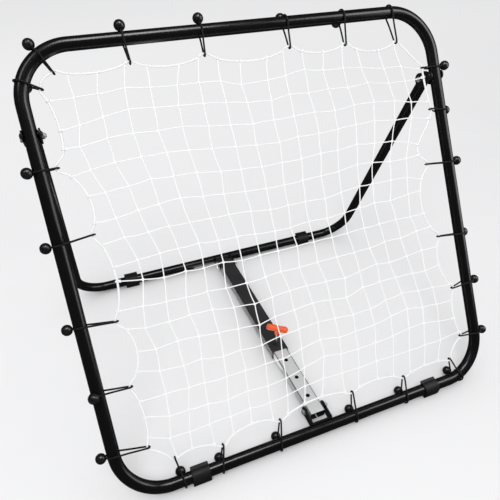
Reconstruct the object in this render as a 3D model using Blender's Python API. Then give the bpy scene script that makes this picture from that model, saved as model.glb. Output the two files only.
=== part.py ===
"""Adjustable ball rebounder: a leaning tube ring with a bungee-hung net, a folding rear U-frame and a telescoping strut.

Metres, +Z up. X runs along the bottom tubes, +Y points from the net side to the rear frame, Z = 0 is the ground.
Front-frame points are given as (x, s, b): s runs up the leaning frame from the bottom tube's axis, b points out of its back.
"""

import math

import bmesh
import bpy
from mathutils import Matrix, Vector

MM = 0.001

# ---- driving dimensions, millimetres and degrees
TUBE_R = 14.0  # 28 mm round steel tube
TUBE_BORE = 12.5  # inside radius, 1.5 mm wall
RING_W = 972.0  # front ring, axis to axis: 1000 mm overall
RING_H = 952.0  # 980 mm overall
RING_CORNER = 108.0
AXIS_Z = 19.0  # height of both floor tubes' axes: the feet are 5 mm thick below them
LEAN = 32.1  # front frame, from vertical
BASE_SPREAD = 741.0  # between the axes of the two floor tubes
FRONT_Y = -370.03
REAR_Y = FRONT_Y + BASE_SPREAD
SEAM_S = 568.0  # the two halves of the ring meet here, under a bungee on each side
SWAGE_R = 12.1
SWAGE_LEN = 55.0

PIVOT_S, PIVOT_B = 791.7, 39.0  # rear frame's pivot on the front frame
REAR_W = 968.0
REAR_CORNER = 90.0
ARM_STUB = 12.0  # arm beyond its pivot
BOLT_R = 4.0  # M8
HOLE_R = 4.35
PLATE_T = 3.0
PLATE_IN, PLATE_OUT = 469.7, 500.3  # faces of the hinge plates, from the centre line
RIVET_S = 790.0
RIVET_R = 3.0

FOOT_X = 316.0
FOOT_LEN = 42.0

STRUT_Z = 27.0  # axis of the strut's pivots
CLEVIS_REACH = 52.0  # tube axis to strut pivot
EAR_GAP = 24.6  # half the clear width between the ears
EAR_T = 3.0
EAR_R = 13.0
OUTER_W, OUTER_H, OUTER_T = 48.0, 28.0, 2.0
OUTER_TOP = 39.5
OUTER_FRONT = 254.0  # from the front tube's axis
INNER_W, INNER_H, INNER_T = 41.0, 22.6, 1.5
INNER_TOP = 37.1
INNER_FRONT, INNER_REAR = 33.0, 470.0
HOLE_PITCH = 64.0
PIN_Y = 279.5  # plunger, from the front tube's axis
HOLES = 4
GRIP_Z = 99.5
GRIP_LEN = 60.0
GRIP_TURN = -39.0  # the T-bar's angle from X in plan

CORD_R = 2.0  # elastic cord
BALL_R = 11.6
BALL_OUT = 26.2  # ball centre from the tube's axis
LOOP_R = 16.5  # elastic's centre line round the tube
ROPE_R = 2.6  # net's border rope
NET_T = 1.4

# ---- the twenty-four bungees, clockwise from the top left bend:
# (name, side of the ring, place along that side or angle round its bend, x and s of the elastic's tip in the net,
#  ball's angle round the tube with 0 outward and 90 behind, sideways pull of the ball, how far the rope bows in before the next one)
BUNGEES = [
    ("top_1", "top left bend", 121.6, -415, 898, 0, 0, 13),
    ("top_2", "top", -269, -264, 901, 0, 0, 17),
    ("top_3", "top", -102, -104, 900, 0, 0, 24),
    ("top_4", "top", 98, 99, 896, 50, 0, 18),
    ("top_5", "top", 245, 243, 888, 97, 0, 21),
    ("top_6", "top", 377, 385, 879, 75, 0, 1),
    ("right_1", "right", 808, 445, 812, -20, -0.6, 2),
    ("right_2", "right", 701, 453, 710, 25, 0, 32, 0.75),
    ("right_3", "right", 568, 416, 575, 0, 0, 38),
    ("right_4", "right", 378, 417, 386, 25, 0, 24),
    ("right_5", "right", 247, 436, 241, 0, 0, 14),
    ("right_6", "right", 105, 438, 108, 0, 0, 10),
    ("bottom_1", "bottom right bend", -70.5, 393, 57, 124, 18, 11),
    ("bottom_2", "bottom", 237, 246, 54, 108.5, 0, 16),
    ("bottom_3", "bottom", 87, 93, 63, 108.5, 0, 20),
    ("bottom_4", "bottom", -120, -105, 58, 108.5, 0, 22),
    ("bottom_5", "bottom", -266, -251, 49, 108.5, 0, 13),
    ("bottom_6", "bottom", -355, -364, 59, 113, 0, 4),
    ("left_1", "left", 112, -410, 101, 0, 0, 12),
    ("left_2", "left", 250, -415, 243, -70, 0, 30),
    ("left_3", "left", 397, -411, 388, 0, 0, 24),
    ("left_4", "left", 568, -414, 576, 0, 0, 29),
    ("left_5", "left", 717, -450, 719, -25, 0, 22, 0.38),
    ("left_6", "top left bend", 156.0, -443, 871, 100, 0, -5),
]
LOOP_END = 4.9  # elastic's centre line round the rope, inside the net's edge


def clear():
    for obj in list(bpy.data.objects):
        bpy.data.objects.remove(obj, do_unlink=True)


def material(name, colour, roughness, metallic=0.0):
    mat = bpy.data.materials.new(name)
    mat.use_nodes = True
    shader = mat.node_tree.nodes["Principled BSDF"]
    shader.inputs["Base Color"].default_value = (*colour, 1.0)
    shader.inputs["Roughness"].default_value = roughness
    shader.inputs["Metallic"].default_value = metallic
    mat.diffuse_color = (*colour, 1.0)
    return mat


def empty(name, place, turn_x=0.0, parent=None):
    obj = bpy.data.objects.new(name, None)
    bpy.context.scene.collection.objects.link(obj)
    obj.empty_display_size = 0.05
    obj.parent = parent
    obj.location = Vector(place) * MM
    obj.rotation_euler = (math.radians(turn_x), 0.0, 0.0)
    return obj


def new_object(name, bm, mat, parent=None, place=(0, 0, 0), turn=(0, 0, 0), smooth=35.0, cutter=False):
    """A mesh drawn in millimetres becomes an object in metres."""
    bmesh.ops.scale(bm, vec=(MM, MM, MM), verts=bm.verts)
    bmesh.ops.recalc_face_normals(bm, faces=bm.faces)
    mesh = bpy.data.meshes.new(name)
    bm.to_mesh(mesh)
    bm.free()
    if smooth:
        mesh.shade_smooth()
        mesh.set_sharp_from_angle(angle=math.radians(smooth))
    obj = bpy.data.objects.new(name, mesh)
    bpy.context.scene.collection.objects.link(obj)
    obj.parent = parent
    obj.location = Vector(place) * MM
    obj.rotation_euler = tuple(math.radians(a) for a in turn)
    if mat:
        mesh.materials.append(mat)
    if cutter:
        obj.hide_render = True
        obj.display_type = "WIRE"
    return obj


def boolean(obj, other, operation):
    mod = obj.modifiers.new(operation.lower() + "_" + other.name, "BOOLEAN")
    mod.operation = operation
    mod.object = other
    mod.solver = "EXACT"
    return mod


# ---- shapes, all in millimetres


def rings_to_mesh(bm, rings, closed):
    """Skins a list of vertex rings; ends stay open unless closed."""
    count = len(rings[0])
    pairs = list(zip(rings, rings[1:])) + ([(rings[-1], rings[0])] if closed else [])
    for first, second in pairs:
        for k in range(count):
            m = (k + 1) % count
            bm.faces.new((first[k], first[m], second[m], second[k]))


def sweep(path, normal, sides, bore=None, closed=False, phase=0.0):
    """A tube along a path of (point, radius) in one plane whose normal is given. With bore, path points carry a bore radius too and the ends stay open."""
    bm = bmesh.new()
    normal = Vector(normal).normalized()
    points = [Vector(p[0]) for p in path]
    n = len(points)
    rings, inner = [], []
    for i, item in enumerate(path):
        if closed:
            before, after = points[i - 1], points[(i + 1) % n]
        else:
            before, after = points[max(i - 1, 0)], points[min(i + 1, n - 1)]
            if (after - points[i]).length < 1e-6:
                after = points[i] + (points[i] - before)
            if (points[i] - before).length < 1e-6:
                before = points[i] - (after - points[i])
        a = (points[i] - before).normalized() if (points[i] - before).length > 1e-6 else None
        b = (after - points[i]).normalized() if (after - points[i]).length > 1e-6 else None
        tangent = ((a or b) + (b or a)).normalized()
        side = tangent.cross(normal).normalized()
        up = side.cross(tangent).normalized()
        # mitre: a ring on a bend is stretched so that the straight runs keep their radius
        stretch = 1.0
        if a is not None and b is not None:
            stretch = 1.0 / max(0.6, math.sqrt((1 + a.dot(b)) / 2))
        ring = []
        for k in range(sides):
            ang = 2 * math.pi * (k + phase) / sides
            ring.append(bm.verts.new(points[i] + item[1] * (side * math.cos(ang) * stretch + up * math.sin(ang))))
        rings.append(ring)
        if bore:
            ring = []
            for k in range(sides):
                ang = 2 * math.pi * (k + phase) / sides
                ring.append(bm.verts.new(points[i] + item[2] * (side * math.cos(ang) * stretch + up * math.sin(ang))))
            inner.append(ring)
    rings_to_mesh(bm, rings, closed)
    if bore:
        rings_to_mesh(bm, inner, closed)
        for first, second in ((rings[0], inner[0]), (rings[-1], inner[-1])):
            for k in range(sides):
                m = (k + 1) % sides
                bm.faces.new((first[k], first[m], second[m], second[k]))
    elif not closed:
        bm.faces.new(rings[0])
        bm.faces.new(rings[-1])
    return bm


def lathe(profile, sides, axis="Z"):
    """A turned solid from (along, radius) pairs; a radius of 0 closes an end to a point."""
    bm = bmesh.new()
    turn = {"Z": Matrix.Identity(3), "X": Matrix.Rotation(math.radians(90), 3, "Y"), "Y": Matrix.Rotation(math.radians(-90), 3, "X")}[axis]
    rings = []
    for along, radius in profile:
        if radius == 0:
            rings.append([bm.verts.new(turn @ Vector((0, 0, along)))])
            continue
        rings.append(
            [
                bm.verts.new(turn @ Vector((radius * math.cos(2 * math.pi * k / sides), radius * math.sin(2 * math.pi * k / sides), along)))
                for k in range(sides)
            ]
        )
    for first, second in zip(rings, rings[1:]):
        for k in range(sides):
            m = (k + 1) % sides
            if len(first) == 1:
                bm.faces.new((first[0], second[m], second[k]))
            elif len(second) == 1:
                bm.faces.new((first[k], first[m], second[0]))
            else:
                bm.faces.new((first[k], first[m], second[m], second[k]))
    for ring in (rings[0], rings[-1]):
        if len(ring) > 1:
            bm.faces.new(ring)
    return bm


def circle(cx, cy, radius, count, start=0.0):
    return [(cx + radius * math.cos(start + 2 * math.pi * k / count), cy + radius * math.sin(start + 2 * math.pi * k / count)) for k in range(count)]


def arc(cx, cy, radius, a0, a1, count):
    return [(cx + radius * math.cos(math.radians(a0 + (a1 - a0) * k / count)), cy + radius * math.sin(math.radians(a0 + (a1 - a0) * k / count))) for k in range(count + 1)]


def plate(outline, holes, low, high, plane="XY"):
    """A flat plate: outline and holes are loops of (u, v), pulled from low to high along the third axis."""
    put = {"XY": lambda u, v, w: (u, v, w), "YZ": lambda u, v, w: (w, u, v), "XZ": lambda u, v, w: (u, w, v)}[plane]
    bm = bmesh.new()
    edges = []
    for loop in [outline] + holes:
        verts = [bm.verts.new(put(u, v, low)) for u, v in loop]
        edges += [bm.edges.new((verts[k], verts[(k + 1) % len(verts)])) for k in range(len(verts))]
    bmesh.ops.triangle_fill(bm, use_beauty=True, use_dissolve=False, edges=edges)
    out = bmesh.ops.extrude_face_region(bm, geom=list(bm.faces))
    moved = [g for g in out["geom"] if isinstance(g, bmesh.types.BMVert)]
    step = Vector(put(0, 0, high)) - Vector(put(0, 0, low))
    bmesh.ops.translate(bm, vec=step, verts=moved)
    return bm


def hull2(c1, r1, c2, r2, n1, n2):
    """Outline round two circles in a plane, as a belt: the arc round circle 1, then the arc round circle 2."""
    dx, dy = c2[0] - c1[0], c2[1] - c1[1]
    dist = math.hypot(dx, dy)
    base = math.atan2(dy, dx)
    spread = math.acos((r1 - r2) / dist)
    out = []
    for k in range(n1 + 1):
        a = base + spread + (2 * math.pi - 2 * spread) * k / n1
        out.append((c1[0] + r1 * math.cos(a), c1[1] + r1 * math.sin(a)))
    for k in range(n2 + 1):
        a = base - spread + 2 * spread * k / n2
        out.append((c2[0] + r2 * math.cos(a), c2[1] + r2 * math.sin(a)))
    return out


def bend(cx, cs, radius, a0, a1, steps):
    return [(cx + radius * math.cos(math.radians(a0 + (a1 - a0) * k / steps)), cs + radius * math.sin(math.radians(a0 + (a1 - a0) * k / steps))) for k in range(steps + 1)]


def merged(*meshes):
    """Several closed shapes in one mesh, for a cutter."""
    bm = bmesh.new()
    for other in meshes:
        mesh = bpy.data.meshes.new("scratch")
        other.to_mesh(mesh)
        other.free()
        bm.from_mesh(mesh)
        bpy.data.meshes.remove(mesh)
    return bm


def shifted(bm, vec):
    bmesh.ops.translate(bm, vec=vec, verts=bm.verts)
    return bm


clear()

BLACK = material("black_powder_coat", (0.012, 0.012, 0.013), 0.32)
ZINC = material("zinc_plated_steel", (0.62, 0.64, 0.64), 0.38, 1.0)
STRUT_BLACK = material("black_strut_coat", (0.022, 0.022, 0.024), 0.5)
STRUT_ZINC = material("galvanised_strut", (0.66, 0.69, 0.68), 0.34, 1.0)
FOOT = material("black_foot_plastic", (0.02, 0.02, 0.021), 0.6)
ORANGE = material("orange_grip", (0.86, 0.16, 0.03), 0.42)
CORD = material("black_elastic", (0.01, 0.01, 0.011), 0.75)
ROPE = material("white_net_cord", (0.86, 0.86, 0.85), 0.7)
CAP = material("black_plug_plastic", (0.016, 0.016, 0.017), 0.55)

front = empty("front_frame_axis", (0, FRONT_Y, AXIS_Z), -LEAN)


# =====================================================================
# front frame: two hollow tube halves, the lower one swaged to fit inside the upper one
# =====================================================================
HW, CR = RING_W / 2, RING_CORNER
upper = [(-HW, SEAM_S + 0.3)]
upper += bend(-HW + CR, RING_H - CR, CR, 180, 90, 7)
upper += bend(HW - CR, RING_H - CR, CR, 90, 0, 7)
upper += [(HW, SEAM_S + 0.3)]
new_upper = new_object(
    "front_frame_upper_tube",
    sweep([((x, 0, s), TUBE_R, TUBE_BORE) for x, s in upper], (0, 1, 0), 14, bore=True, phase=0.5),
    BLACK,
    front,
)
rivet_cut = merged(
    shifted(lathe([(-30, RIVET_R + 0.35), (30, RIVET_R + 0.35)], 10, "X"), (-HW, 0, RIVET_S)),
    shifted(lathe([(-30, RIVET_R + 0.35), (30, RIVET_R + 0.35)], 10, "X"), (HW, 0, RIVET_S)),
)
boolean(new_upper, new_object("cut_rivet_holes", rivet_cut, None, front, cutter=True), "DIFFERENCE")


def swaged_end(x, up):
    """Path of one end of the lower half, from the straight tube to its reduced end, or the reverse."""
    ends = [
        ((x, 0, SEAM_S - 12), TUBE_R, TUBE_BORE),
        ((x, 0, SEAM_S - 4), TUBE_R, SWAGE_R - 1.6),
        ((x, 0, SEAM_S), TUBE_R, SWAGE_R - 1.6),
        ((x, 0, SEAM_S), SWAGE_R, SWAGE_R - 1.6),
        ((x, 0, SEAM_S + SWAGE_LEN), SWAGE_R, SWAGE_R - 1.6),
    ]
    return ends if up else ends[::-1]


def lower_tube():
    """The lower half is swept ring by ring, so that the shoulder of each swage is a true step."""
    body = bend(-HW + CR, CR, CR, 180, 270, 7) + bend(HW - CR, CR, CR, -90, 0, 7)
    path = swaged_end(-HW, False) + [((x, 0, s), TUBE_R, TUBE_BORE) for x, s in body] + swaged_end(HW, True)
    bm = bmesh.new()
    sides = 14
    outer, inner = [], []
    count = len(path)
    for i, (p, r, bore) in enumerate(path):
        p = Vector(p)
        if i < 5:
            tangent = Vector((0, 0, -1))
            stretch = 1.0
        elif i >= count - 5:
            tangent = Vector((0, 0, 1))
            stretch = 1.0
        else:
            a = (p - Vector(path[i - 1][0])).normalized()
            b = (Vector(path[i + 1][0]) - p).normalized()
            tangent = (a + b).normalized()
            stretch = 1.0 / math.sqrt((1 + a.dot(b)) / 2)
        side = tangent.cross(Vector((0, 1, 0))).normalized()
        for rings, radius in ((outer, r), (inner, bore)):
            rings.append(
                [
                    bm.verts.new(p + radius * (side * math.cos(2 * math.pi * (k + 0.5) / sides) * stretch + Vector((0, 1, 0)) * math.sin(2 * math.pi * (k + 0.5) / sides)))
                    for k in range(sides)
                ]
            )
    rings_to_mesh(bm, outer, False)
    rings_to_mesh(bm, inner, False)
    for a, b in ((outer[0], inner[0]), (outer[-1], inner[-1])):
        for k in range(sides):
            m = (k + 1) % sides
            bm.faces.new((a[k], a[m], b[m], b[k]))
    bmesh.ops.remove_doubles(bm, verts=bm.verts, dist=0.001)
    return bm


new_object("front_frame_lower_tube", lower_tube(), BLACK, front)

# =====================================================================
# rear frame: one hollow U, pivoting at the top of its arms
# =====================================================================
lean = math.radians(LEAN)
PIVOT_Y = FRONT_Y + PIVOT_S * math.sin(lean) + PIVOT_B * math.cos(lean)
PIVOT_Z = AXIS_Z + PIVOT_S * math.cos(lean) - PIVOT_B * math.sin(lean)
ARM_LEN = math.hypot(REAR_Y - PIVOT_Y, PIVOT_Z - AXIS_Z)
ARM_TURN = math.degrees(math.atan2(REAR_Y - PIVOT_Y, PIVOT_Z - AXIS_Z))
rear = empty("rear_frame_axis", (0, PIVOT_Y, PIVOT_Z), ARM_TURN)

RW, RR = REAR_W / 2, REAR_CORNER
u_path = [(-RW, ARM_STUB)] + bend(-RW + RR, -ARM_LEN + RR, RR, 180, 270, 7) + bend(RW - RR, -ARM_LEN + RR, RR, -90, 0, 7) + [(RW, ARM_STUB)]
rear_tube = new_object(
    "rear_frame_tube",
    sweep([((x, 0, s), TUBE_R, TUBE_BORE) for x, s in u_path], (0, 1, 0), 14, bore=True, phase=0.5),
    BLACK,
    rear,
)
arm_cut = merged(
    shifted(lathe([(-30, HOLE_R), (30, HOLE_R)], 12, "X"), (-RW, 0, 0)),
    shifted(lathe([(-30, HOLE_R), (30, HOLE_R)], 12, "X"), (RW, 0, 0)),
)
boolean(rear_tube, new_object("cut_arm_holes", arm_cut, None, rear, cutter=True), "DIFFERENCE")

for side, sign in (("left", -1), ("right", 1)):
    # end plug of each arm: a domed flange over the tube's end and a short spigot inside it
    new_object(
        f"rear_arm_plug_{side}",
        lathe([(ARM_STUB - 5.5, 11.2), (ARM_STUB + 0.3, 11.9), (ARM_STUB + 0.3, 13.6), (ARM_STUB + 1.6, 13.6), (ARM_STUB + 2.6, 11.0), (ARM_STUB + 3.0, 0)], 14),
        CAP,
        rear,
        place=(sign * RW, 0, 0),
    )

# =====================================================================
# hinges: a pair of plates each side, riveted through the front tube and bolted through the arm
# =====================================================================
plate_outline = hull2((0, RIVET_S), 11.0, (PIVOT_B, PIVOT_S), 16.0, 8, 10)
plate_holes = [circle(0, RIVET_S, RIVET_R + 0.35, 8), circle(PIVOT_B, PIVOT_S, HOLE_R, 12)]
for side, sign in (("left", -1), ("right", 1)):
    inside = sorted((sign * PLATE_IN, sign * (PLATE_IN - PLATE_T)))
    outside = sorted((sign * PLATE_OUT, sign * (PLATE_OUT + PLATE_T)))
    new_object(f"hinge_plate_{side}_inner", plate(plate_outline, plate_holes, inside[0], inside[1], "YZ"), BLACK, front, smooth=30)
    new_object(f"hinge_plate_{side}_outer", plate(plate_outline, plate_holes, outside[0], outside[1], "YZ"), BLACK, front, smooth=30)
    near, far = PLATE_IN - PLATE_T - 0.3, PLATE_OUT + PLATE_T + 0.3
    mid = (near + far) / 2
    rivet = [(-(mid - near) - 3.4, 0), (-(mid - near) - 2.6, 3.2), (-(mid - near), 6.0), (-(mid - near), RIVET_R)]
    rivet += [(a * -1, r) for a, r in rivet[::-1]]
    new_object(f"hinge_rivet_{side}", lathe(rivet, 10, "X"), BLACK, front, place=(sign * mid, 0, RIVET_S), smooth=40)
    # pivot bolt: hex head on the outer face, nut on the inner face
    head = plate([(6.5 / math.cos(math.pi / 6) * math.cos(math.radians(30 + 60 * k)), 6.5 / math.cos(math.pi / 6) * math.sin(math.radians(30 + 60 * k))) for k in range(6)], [], 0.0, 5.3, "YZ")
    shank_len = (far - near) + 6.8 + 2.2
    bolt = new_object(f"hinge_bolt_{side}", head, ZINC, front, place=(sign * far, PIVOT_B, PIVOT_S), turn=(0, 0, 0 if sign > 0 else 180), smooth=30)
    shank = new_object(
        f"add_shank_{side}",
        lathe([(-shank_len, 0), (-shank_len, BOLT_R - 0.8), (-shank_len + 0.8, BOLT_R), (1.5, BOLT_R), (1.5, 0)], 12, "X"),
        None,
        front,
        place=(sign * far, PIVOT_B, PIVOT_S),
        turn=(0, 0, 0 if sign > 0 else 180),
        cutter=True,
    )
    boolean(bolt, shank, "UNION")
    hexagon = [(6.5 / math.cos(math.pi / 6) * math.cos(math.radians(60 * k)), 6.5 / math.cos(math.pi / 6) * math.sin(math.radians(60 * k))) for k in range(6)]
    nut_span = sorted((sign * (near - 6.8), sign * near))
    new_object(
        f"hinge_nut_{side}",
        plate(hexagon, [circle(0, 0, HOLE_R, 12)], nut_span[0], nut_span[1], "YZ"),
        ZINC,
        front,
        place=(0, PIVOT_B, PIVOT_S),
        smooth=30,
    )

# =====================================================================
# feet: C-clips snapped on the floor tubes, flat base, a raised lip at the back
# =====================================================================
foot_profile = arc(0, 0, TUBE_R + 0.35, -20, -322, 14)  # inside, from the lower lip round the front to the upper lip
foot_profile += [(13.6, 14.2), (15.2, 17.4), (12.0, 17.9)]  # flared upper lip
foot_profile += arc(0, 0, 17.6, 62, 196, 7)  # over the top and down the front
foot_profile += [(-15.6, -13.0), (-14.6, -AXIS_Z), (14.6, -AXIS_Z), (17.0, -10.0)]
for place, frame_y, tag in (("front", FRONT_Y, "front"), ("rear", REAR_Y, "rear")):
    for side, sign in (("left", -1), ("right", 1)):
        new_object(
            f"foot_{tag}_{side}",
            plate(foot_profile, [], -FOOT_LEN / 2, FOOT_LEN / 2, "YZ"),
            FOOT,
            None,
            place=(sign * FOOT_X, frame_y, AXIS_Z),
            smooth=40,
        )

# =====================================================================
# strut: clevis on each floor tube, a coated outer channel and a galvanised inner channel that slides in it
# =====================================================================
ear = arc(0, 0, TUBE_R + 0.4, 62, -26, 6)  # saddle against the tube, from its top to its back
ear += [(17.5, -8.0)]
ear += arc(CLEVIS_REACH, STRUT_Z - AXIS_Z, EAR_R, -100, 80, 8)
ear += [(12.0, 17.6)]
for tag, frame_y, turn in (("front", FRONT_Y, 0), ("rear", REAR_Y, 180)):
    bm = plate(ear, [], -EAR_GAP - EAR_T, EAR_GAP + EAR_T, "YZ")
    clevis = new_object(f"strut_clevis_{tag}", bm, BLACK, None, place=(0, frame_y, AXIS_Z), turn=(0, 0, turn), smooth=35)
    # the space between the ears, leaving a web against the tube
    step = [(-5, 8.5), (TUBE_R + 3.4, 8.5), (TUBE_R + 3.4, -40), (90, -40), (90, 40), (-5, 40)]
    cut = plate(step, [], -EAR_GAP, EAR_GAP, "YZ")
    boolean(clevis, new_object(f"cut_clevis_{tag}", cut, None, None, place=(0, frame_y, AXIS_Z), turn=(0, 0, turn), cutter=True), "DIFFERENCE")
    hole = shifted(lathe([(-40, HOLE_R), (40, HOLE_R)], 12, "X"), (0, CLEVIS_REACH, STRUT_Z - AXIS_Z))
    boolean(clevis, new_object(f"cut_clevis_hole_{tag}", hole, None, None, place=(0, frame_y, AXIS_Z), turn=(0, 0, turn), cutter=True), "DIFFERENCE")
    y = frame_y + (CLEVIS_REACH if tag == "front" else -CLEVIS_REACH)
    face = EAR_GAP + EAR_T + 0.3
    head = plate([(7.5 * math.cos(math.radians(60 * k)), 7.5 * math.sin(math.radians(60 * k))) for k in range(6)], [], -face - 5.3, -face, "YZ")
    bolt = new_object(f"strut_bolt_{tag}", head, ZINC, None, place=(0, y, STRUT_Z), smooth=30)
    end = face + 6.8 + 2.0
    shank = new_object(
        f"add_strut_shank_{tag}",
        lathe([(-face - 1.5, 0), (-face - 1.5, BOLT_R), (end - 0.8, BOLT_R), (end, BOLT_R - 0.8), (end, 0)], 12, "X"),
        None,
        None,
        place=(0, y, STRUT_Z),
        cutter=True,
    )
    boolean(bolt, shank, "UNION")
    new_object(
        f"strut_nut_{tag}",
        plate([(7.5 * math.cos(math.radians(30 + 60 * k)), 7.5 * math.sin(math.radians(30 + 60 * k))) for k in range(6)], [circle(0, 0, HOLE_R, 12)], face, face + 6.8, "YZ"),
        ZINC,
        None,
        place=(0, y, STRUT_Z),
        smooth=30,
    )


def channel(width, height, wall, lip, low_y, high_y, top):
    """A channel open downward with turned-in lips; (x, z) section pulled along y."""
    w, h = width / 2, height
    c = 1.6  # outer corner chamfer that stands for the bend
    section = [
        (-w + c, 0), (w - c, 0), (w, -c), (w, -h + c), (w - c, -h), (w - lip, -h), (w - lip, -h + wall), (w - wall, -h + wall), (w - wall, -wall),
        (-w + wall, -wall), (-w + wall, -h + wall), (-w + lip, -h + wall), (-w + lip, -h), (-w + c, -h), (-w, -h + c), (-w, -c),
    ]
    return shifted(plate(section, [], low_y, high_y, "XZ"), (0, 0, top))


REAR_PIVOT_Y = REAR_Y - CLEVIS_REACH
outer_axis = empty("strut_outer_axis", (0, REAR_PIVOT_Y, STRUT_Z))
outer = new_object(
    "strut_outer_channel",
    channel(OUTER_W, OUTER_H, OUTER_T, 7.0, FRONT_Y + OUTER_FRONT - REAR_PIVOT_Y, 13.5, OUTER_TOP - STRUT_Z),
    STRUT_BLACK,
    outer_axis,
    smooth=30,
)
pin_local = FRONT_Y + PIN_Y - REAR_PIVOT_Y
outer_cut = merged(
    lathe([(-40, HOLE_R), (40, HOLE_R)], 12, "X"),
    shifted(lathe([(0, 5.0), (40, 5.0)], 14), (0, pin_local, 0)),
)
boolean(outer, new_object("cut_outer_holes", outer_cut, None, outer_axis, cutter=True), "DIFFERENCE")

FRONT_PIVOT_Y = FRONT_Y + CLEVIS_REACH
inner = new_object(
    "strut_inner_channel",
    channel(INNER_W, INNER_H, INNER_T, 19.0, INNER_FRONT - CLEVIS_REACH, INNER_REAR - CLEVIS_REACH, INNER_TOP - STRUT_Z),
    STRUT_ZINC,
    outer_axis,
    place=(0, FRONT_PIVOT_Y - REAR_PIVOT_Y, 0),
    smooth=30,
)
inner_cuts = [lathe([(-40, 7.4), (40, 7.4)], 16, "X")]
for k in range(HOLES):
    inner_cuts.append(shifted(lathe([(0, 5.0), (40, 5.0)], 14), (0, PIN_Y - HOLE_PITCH * k - CLEVIS_REACH, 0)))
boolean(inner, new_object("cut_inner_holes", merged(*inner_cuts), None, outer_axis, place=(0, FRONT_PIVOT_Y - REAR_PIVOT_Y, 0), cutter=True), "DIFFERENCE")

# plastic spacers that centre the narrower inner channel between the front ears
for side, sign in (("left", -1), ("right", 1)):
    span = sorted((sign * (INNER_W / 2 + 0.4), sign * (EAR_GAP - 0.3)))
    new_object(
        f"strut_spacer_{side}",
        plate(circle(0, 0, 5.8, 14), [circle(0, 0, HOLE_R, 12)], span[0], span[1], "YZ"),
        CAP,
        None,
        place=(0, FRONT_PIVOT_Y, STRUT_Z),
        smooth=40,
    )

# spring plunger on the outer channel: housing, pull pin, return spring and T-grip
plunger_axis = empty("plunger_axis", (0, FRONT_Y + PIN_Y, OUTER_TOP))
bm = bmesh.new()
rows = [(0.3, 9.4), (9.8, 9.4), (12.2, 7.8), (12.2, 3.0), (10.6, 3.0), (10.6, 6.4), (0.3, 6.4)]
rings = [[bm.verts.new((r * math.cos(2 * math.pi * k / 18), r * math.sin(2 * math.pi * k / 18), z)) for k in range(18)] for z, r in rows]
rings_to_mesh(bm, rings, True)
new_object("plunger_housing", bm, STRUT_BLACK, plunger_axis, smooth=35)
pin_rows = [(-2.1, 0), (-2.1, 4.1), (-1.6, 4.6), (0.7, 4.6), (0.7, 5.8), (2.2, 5.8), (2.2, 2.5), (47.5, 2.5), (47.5, 0)]
new_object("plunger_pin", lathe(pin_rows, 12), ZINC, plunger_axis, smooth=35)


def coil(radius, wire, low, high, turns, per_turn, sides):
    bm = bmesh.new()
    rings = []
    steps = int(turns * per_turn)
    for i in range(steps + 1):
        ang = 2 * math.pi * i / per_turn
        z = low + wire + (high - low - 2 * wire) * i / steps
        centre = Vector((radius * math.cos(ang), radius * math.sin(ang), z))
        out = Vector((math.cos(ang), math.sin(ang), 0))
        rings.append([bm.verts.new(centre + wire * (out * math.cos(2 * math.pi * k / sides) + Vector((0, 0, 1)) * math.sin(2 * math.pi * k / sides))) for k in range(sides)])
    rings_to_mesh(bm, rings, False)
    bm.faces.new(rings[0])
    bm.faces.new(rings[-1])
    return bm


new_object("plunger_spring", coil(4.4, 0.45, 2.5, 10.3, 4, 8, 4), ZINC, plunger_axis, smooth=60)

grip_h = GRIP_Z - OUTER_TOP
half = GRIP_LEN / 2
bar = lathe(
    [(-half, 0), (-half + 0.5, 4.6), (-half + 2.8, 7.8), (-half + 6.5, 9.1), (half - 6.5, 9.1), (half - 2.8, 7.8), (half - 0.5, 4.6), (half, 0)],
    14,
    "X",
)
grip = new_object("plunger_t_grip", bar, ORANGE, plunger_axis, place=(0, 0, grip_h), turn=(0, 0, GRIP_TURN), smooth=40)
stem = new_object("add_grip_stem", lathe([(37.5 - grip_h, 0), (37.5 - grip_h, 5.8), (38.5 - grip_h, 6.5), (-3.0, 7.3), (-3.0, 0)], 14), None, plunger_axis, place=(0, 0, grip_h), turn=(0, 0, GRIP_TURN), cutter=True)
boolean(grip, stem, "UNION")
socket = new_object("cut_grip_socket", lathe([(-40, 2.85), (48.0 - grip_h, 2.85)], 12), None, plunger_axis, place=(0, 0, grip_h), turn=(0, 0, GRIP_TURN), cutter=True)
boolean(grip, socket, "DIFFERENCE")

# =====================================================================
# net: border rope through every hook, and the panel that the knotted net fills
# =====================================================================


def seat(side, at):
    """Where a loop sits on the ring: point on the tube's axis, direction away from the net, and clockwise direction along the tube, as (x, s)."""
    if side.endswith("bend"):
        centre = Vector((-HW + CR, RING_H - CR)) if side.startswith("top") else Vector((HW - CR, CR))
        out = Vector((math.cos(math.radians(at)), math.sin(math.radians(at))))
        point = centre + out * CR
    else:
        out = {"top": Vector((0, 1)), "right": Vector((1, 0)), "bottom": Vector((0, -1)), "left": Vector((-1, 0))}[side]
        point = {"top": Vector((at, RING_H)), "right": Vector((HW, at)), "bottom": Vector((at, 0)), "left": Vector((-HW, at))}[side]
    return point, out, Vector((out.y, -out.x))


def hook(row):
    """Centre of the rope where an elastic's end holds it."""
    point, out, along = seat(row[1], row[2])
    tip = Vector((row[3], row[4]))
    return tip + (point - tip).normalized() * (LOOP_END - 0.4)


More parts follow.
